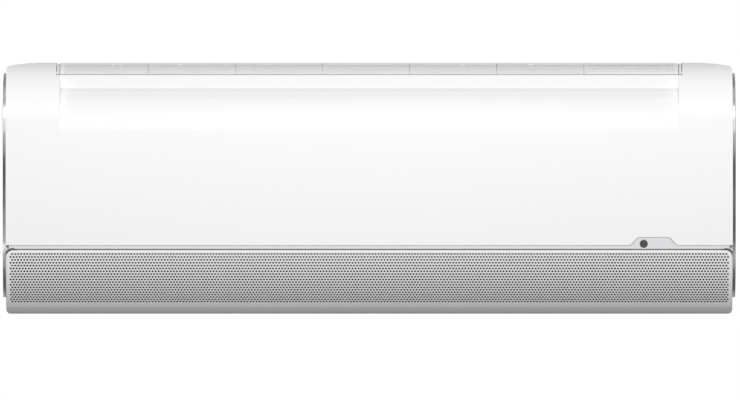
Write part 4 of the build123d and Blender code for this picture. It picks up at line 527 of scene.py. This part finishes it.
def flap_lines():
    """Angles of the grid lines along the flap, from its top edge down, and the first that bounds holes."""
    row_angle = HOLE_PITCH_ARC / FLAP_RADIUS
    first = flap_angle(FIRST_ROW_Z) + row_angle / 2
    top = [flap_angle(FLAP_TOP_Z - drop) for drop in EDGE_LINES]
    rows = [first - n * row_angle for n in range(HOLE_ROWS + 1)]
    band_z = flap_z(rows[-1])
    band = [flap_angle(band_z + (FLAP_LOW_Z + FLAP_EDGE_ROUND - band_z) * n / LOWER_BAND_STEPS)
            for n in range(1, LOWER_BAND_STEPS + 1)]
    low = [flap_angle(FLAP_LOW_Z + rise) for rise in reversed(EDGE_LINES[:-1])]
    return top + rows + band + low, len(top)


def flap_columns():
    """X of the grid lines across the flap, half a hole pitch apart, and the first that bounds holes."""
    half_field = HOLES_IN_WIDE_ROW * HOLE_PITCH_X / 2
    field = [-half_field + n * HOLE_PITCH_X / 2 for n in range(2 * HOLES_IN_WIDE_ROW + 1)]
    side = [FLAP_HALF_WIDTH - inset for inset in SIDE_LINES]
    return [-x for x in side] + field + side[::-1], len(side)


def flap_grid(lines, first_row, columns, field_half):
    """Points where the grid lines cross on both faces, and each one's number by face, row and column."""
    points, numbers = [], {}
    for inner in (False, True):
        for row, angle in enumerate(lines):
            half = flap_half_width(flap_z(angle))
            has_holes = first_row <= row <= first_row + HOLE_ROWS
            start = field_half if has_holes else FLAP_HALF_WIDTH - SQUEEZE_WIDTH
            for column, x in enumerate(columns):
                if abs(x) > start:
                    share = (abs(x) - start) / (FLAP_HALF_WIDTH - start)
                    x = math.copysign(start + share * (half - start), x)
                numbers[inner, row, column] = len(points)
                points.append(flap_point(x, angle, inner))
    return points, numbers


def around_cell(numbers, inner, row, column, span):
    """The grid points around a cell that is some columns wide, along one line and back along the next."""
    along = range(column, column + span + 1)
    return [numbers[inner, row, c] for c in along] + [numbers[inner, row + 1, c] for c in reversed(along)]


def hole_ring(x, angle, inner):
    """Points round a hole on one face."""
    turns = [math.radians(HOLE_FIRST_TURN - 360 / HOLE_CORNERS * n) for n in range(HOLE_CORNERS)]
    return [flap_point(x + HOLE_RADIUS * math.cos(turn), angle + HOLE_RADIUS / FLAP_RADIUS * math.sin(turn),
                       inner) for turn in turns]


def around_grid(row_count, column_count):
    """Rows and columns of the grid points along the flap's rim."""
    rim = [(0, c) for c in range(column_count)]
    rim += [(r, column_count - 1) for r in range(1, row_count)]
    rim += [(row_count - 1, c) for c in range(column_count - 2, -1, -1)]
    return rim + [(r, 0) for r in range(row_count - 2, 0, -1)]


def build_flap():
    """One closed mesh: both faces with their holes, the holes' walls and the rim."""
    lines, first_row = flap_lines()
    columns, first_column = flap_columns()
    points, numbers = flap_grid(lines, first_row, columns, columns[-first_column - 1])
    faces, holes = [], {False: [], True: []}
    for row in range(len(lines) - 1):
        hole_row = row - first_row
        inset = 1 if hole_row % 2 == 0 else 0
        field = range(first_column + inset, len(columns) - first_column - 1 - inset)
        column = 0
        while column < len(columns) - 1:
            has_hole = 0 <= hole_row < HOLE_ROWS and column in field
            span = 2 if has_hole else 1
            for inner in (False, True):
                outline = around_cell(numbers, inner, row, column, span)
                quads = [outline]
                if has_hole:
                    ring = range(len(points), len(points) + HOLE_CORNERS)
                    points += hole_ring(columns[column + 1], (lines[row] + lines[row + 1]) / 2, inner)
                    holes[inner].append(ring)
                    quads = belt(outline, ring)
                faces += [quad if inner else quad[::-1] for quad in quads]
            column += span
    walls = [quad for near, far in zip(holes[False], holes[True]) for quad in belt(near, far)]
    around = around_grid(len(lines), len(columns))
    rim = belt([numbers[False, r, c] for r, c in around], [numbers[True, r, c] for r, c in around])
    piece = solid_piece("flap_perforated", points, faces + walls + rim, "flap", "flap_white")
    # the holes' walls get the painted shade
    piece.data.materials.append(HOLE_PAINTED_SHADE.material)
    for index in range(len(faces), len(faces) + len(walls)):
        piece.data.polygons[index].material_index = 1
    return piece


# ================================================================ lips of the front's joints, and dark insets of painted shade in them
def rounded_path(corners, radius, steps=6):
    """A line through the corners in the front view, each inner corner rounded off."""
    path = [Vector(corners[0])]
    for before, corner, after in zip(corners, corners[1:], corners[2:]):
        corner = Vector(corner)
        back, ahead = (Vector(before) - corner).normalized(), (Vector(after) - corner).normalized()
        half_angle = back.angle(ahead) / 2
        middle = corner + (back + ahead).normalized() * radius / math.sin(half_angle)
        reach = radius / math.tan(half_angle)
        start = (corner + back * reach - middle).normalized()
        end = (corner + ahead * reach - middle).normalized()
        path += [middle + start.slerp(end, n / steps) * radius for n in range(steps + 1)]
    return path + [Vector(corners[-1])]


def lip_along(path, clear):
    """A lip's rings along a line of the front view, clear of it and a little behind the face."""
    rings = []
    for n, place in enumerate(path):
        along = (path[min(n + 1, len(path) - 1)] - path[max(n - 1, 0)]).normalized()
        outward = Vector((along.y, -along.x))
        near, far = place + outward * clear, place + outward * (clear + LIP_WIDTH)
        front_y = face_y(place.y) + LIP_INSET
        rings.append([(near.x, front_y, near.y), (far.x, front_y, far.y),
                      (far.x, front_y + LIP_DEPTH, far.y), (near.x, front_y + LIP_DEPTH, near.y)])
    return rings


def build_gap_lips():
    """Fine lips in the joints above and below the display strip."""
    low_z, high_z = STRIP_HIGH_Z, STRIP_HIGH_Z + BUMP_HEIGHT
    upper = rounded_path([(STRIP_HALF, low_z), (BUMP_X + BUMP_HALF_BASE, low_z),
                          (BUMP_X + BUMP_HALF_TOP, high_z), (BUMP_X - BUMP_HALF_TOP, high_z),
                          (BUMP_X - BUMP_HALF_BASE, low_z), (-STRIP_HALF, low_z)], BUMP_ROUND)
    lower = [Vector((-STRIP_HALF, STRIP_LOW_Z)), Vector((STRIP_HALF, STRIP_LOW_Z))]
    bars = [lip_along(upper, UPPER_LIP_CLEAR), lip_along(lower, LOWER_LIP_CLEAR)]
    bar_piece("gap_lips", bars, "casing", "strip_white")


def build_corner_gap_shades():
    """Dark sheets of painted shade in the joint outside the flap's two top corners, which widen towards the
    corner.
    """
    centre_x, centre_z = FLAP_HALF_WIDTH - FLAP_CORNER_TOP, FLAP_TOP_Z - FLAP_CORNER_TOP
    near, far = FLAP_CORNER_TOP + GAP_CLEAR, FLAP_CORNER_TOP + GAP_WIDTH
    inner = [(centre_x - GAP_RUN, centre_z + near)]
    outer = [(centre_x - GAP_RUN, centre_z + near + GAP_CLEAR)]
    for n in range(GAP_STEPS + 1):
        turn = GAP_TURN * n / GAP_STEPS
        for line, reach in ((inner, near), (outer, far)):
            line.append((min(centre_x + reach * math.sin(turn), FLAP_HALF_WIDTH - GAP_CLEAR / 2),
                         centre_z + reach * math.cos(turn)))
    bars = []
    for side in (-1, 1):
        rings = []
        for ends in zip(inner, outer):
            front = [(side * x, face_y(z) - GAP_PROUD, z) for x, z in ends]
            rings.append(front + [(x, y + GAP_DEPTH, z) for x, y, z in front[::-1]])
        bars.append(rings)
    bar_piece("corner_gap_shades", bars, "casing", "vane_plastic")


# ================================================================ fine relief of the filter
def raised_bar(x_from, x_to, z, width, proud):
    """A bar along X with a rounded top, at a height on the filter's front."""
    middle = shoulder_angle(z, FILTER_INSET)
    half = width / 2 / SHOULDER_RADIUS
    outline = [(-half, BAR_SINK), (-half * BAR_FLANK, -proud * BAR_FLANK_PROUD), (0, -proud),
               (half * BAR_FLANK, -proud * BAR_FLANK_PROUD), (half, BAR_SINK)]
    section = [on_shoulder(middle + angle, FILTER_INSET + inset) for angle, inset in outline]
    return along_x(section, x_from, x_to)


def build_filter_ledge():
    """A fine ledge along the filter's front edge, and its finger tabs."""
    bars = [raised_bar(-FILTER_HALF + FILTER_BORDER, LAST_BAY_X - FILTER_BORDER, LEDGE_Z, LEDGE_WIDTH,
                       LEDGE_PROUD)]
    bars += [raised_bar(x - TAB_LENGTH / 2, x + TAB_LENGTH / 2, TAB_Z, TAB_WIDTH, TAB_PROUD)
             for x in TAB_XS]
    bar_piece("filter_ledge", bars, "filter", "filter_plastic")


def build_filter_ribs():
    """Beads over the filter's ribs, from its front edge to its top, in a grey of painted shade."""
    low, high = shoulder_angle(FILTER_FRONT_Z, FILTER_INSET), math.pi / 2
    angles = [low + (high - low) * n / RIB_STEPS for n in range(RIB_STEPS + 1)]
    half, half_top = RIB_WIDTH / 2, RIB_WIDTH / 2 * RIB_TOP_SHARE
    bars = []
    for x in [RIB_FIRST_X + n * RIB_PITCH for n in range(RIB_COUNT)]:
        rings = []
        for angle in angles:
            top, foot = [on_shoulder(angle, FILTER_INSET + inset) for inset in (-RIB_PROUD, RIB_PROUD)]
            rings.append([(x - half, *foot), (x - half_top, *top), (x + half_top, *top), (x + half, *foot)])
        bars.append(rings)
    bar_piece("filter_ribs", bars, "filter", "filter_plastic", RELIEF_PAINTED_SHADE)


def build_filter_crest():
    """A bead along the filter's top, its two upper edges chamfered, in a grey of painted shade."""
    rear_y, half = CREST_FRONT_Y + CREST_DEPTH, FILTER_HALF - FILTER_BORDER / 2
    section = [(CREST_FRONT_Y, CREST_LOW_Z), (CREST_FRONT_Y, CREST_HIGH_Z - CREST_CHAMFER),
               (CREST_FRONT_Y + CREST_CHAMFER, CREST_HIGH_Z), (rear_y - CREST_CHAMFER, CREST_HIGH_Z),
               (rear_y, CREST_HIGH_Z - CREST_CHAMFER), (rear_y, CREST_LOW_Z)]
    bar_piece("filter_crest", [along_x(section, -half, half)], "filter", "filter_plastic", RELIEF_PAINTED_SHADE)


def build_bay_screen():
    """A fine screen behind the slats of the filter's last bay."""
    low, high = shoulder_angle(FILTER_FRONT_Z + SCREEN_THICKNESS, SCREEN_INSET), math.pi / 2
    angles = [low + (high - low) * n / SCREEN_STEPS for n in range(SCREEN_STEPS + 1)]
    outer, inner = [[on_shoulder(angle, inset) for angle in angles]
                    for inset in (SCREEN_INSET, SCREEN_INSET + SCREEN_THICKNESS)]
    for line in (outer, inner):
        line.append((FILTER_STRIP_REAR_Y, line[-1][1]))
    screen = along_x(outer + inner[::-1], LAST_BAY_X, FILTER_HALF - FILTER_BORDER)
    bar_piece("bay_screen", [screen], "filter", "filter_mesh")


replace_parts(build_flap(), "flap")
build_gap_lips()
build_corner_gap_shades()
build_filter_ledge()
build_filter_ribs()
build_filter_crest()
build_bay_screen()


# ================================================================ floor, light and camera
def light_world():
    """White to the camera, in gloss and through glass, and a faint even light on everything else."""
    world = bpy.data.worlds.new("studio")
    bpy.context.scene.world = world
    world.use_nodes = True
    world.node_tree.nodes.clear()
    sky = Nodes(world.node_tree)
    rays = sky.node("ShaderNodeLightPath").outputs
    seen = sky.arithmetic("MAXIMUM", rays["Is Camera Ray"], rays["Is Glossy Ray"])
    seen_through = sky.arithmetic("MAXIMUM", seen, rays["Is Transmission Ray"])
    faint, bright = [sky.node("ShaderNodeBackground", {"Color": WHITE, "Strength": strength}).outputs[0]
                     for strength in (AMBIENT, 1.0)]
    mix = sky.node("ShaderNodeMixShader", {"Fac": seen_through, 1: faint, 2: bright})
    sky.node("ShaderNodeOutputWorld", {"Surface": mix.outputs[0]})


def build_floor():
    """A pale floor, which is darker to the light that it would throw back up at the unit."""
    floor_z = cad_box[0][2] - FLOOR_DROP
    corners = [(-1, -1), (1, -1), (1, 1), (-1, 1)]
    mesh = bpy.data.meshes.new("floor")
    mesh.from_pydata([(x * FLOOR_REACH, y * FLOOR_REACH, floor_z) for x, y in corners], [], [(0, 1, 2, 3)])
    floor = add_object("floor", mesh)
    pale, dark = [(grey, grey, grey) for grey in (FLOOR_GREY, FLOOR_BOUNCE_GREY)]
    paint = Paint("floor_pale", pale, roughness=0.8)
    bounce = paint.node("ShaderNodeLightPath").outputs["Is Diffuse Ray"]
    paint.dress("Base Color", paint.mixed(bounce, (*pale, 1), (*dark, 1)))
    mesh.materials.append(paint.material)


def area_lamp(name, place, target, size, power):
    """A soft rectangular lamp that faces a point, in metres and watts."""
    light = bpy.data.lights.new(name, "AREA")
    light.shape = "RECTANGLE"
    light.size, light.size_y = size
    light.energy = power
    lamp = add_object(name, light)
    lamp.location = place
    lamp.rotation_euler = (Vector(target) - Vector(place)).to_track_quat("-Z", "Y").to_euler()


def place_camera():
    """A far camera straight ahead, with the photograph's scale and middle."""
    data = bpy.data.cameras.new("camera")
    camera = add_object("camera", data)
    data.sensor_width = SENSOR_WIDTH
    data.lens = SENSOR_WIDTH * (CAMERA_DISTANCE + TRUE_SCALE_DEPTH) / (PICTURE_WIDTH * MM_PER_PIXEL * MM)
    data.clip_end = CLIP_END
    camera_x = (PICTURE_WIDTH / 2 - ZERO_X_PX) * MM_PER_PIXEL * MM
    camera_z = (ZERO_Z_PX - PICTURE_HEIGHT / 2) * MM_PER_PIXEL * MM
    camera.location = (camera_x, cad_box[0][1] - CAMERA_DISTANCE, camera_z)
    camera.rotation_euler = (math.pi / 2, 0, 0)
    bpy.context.scene.camera = camera


light_world()
build_floor()
area_lamp("front_light", place=(0, -3.6, 1.4), target=(0, -0.15, 0), size=(3.2, 1.2), power=139)
area_lamp("top_light", place=(0, -0.4, 2.6), target=(0, -0.1, 0.1), size=(3.0, 1.2), power=8)
place_camera()
bpy.context.scene.view_settings.view_transform = "Standard"
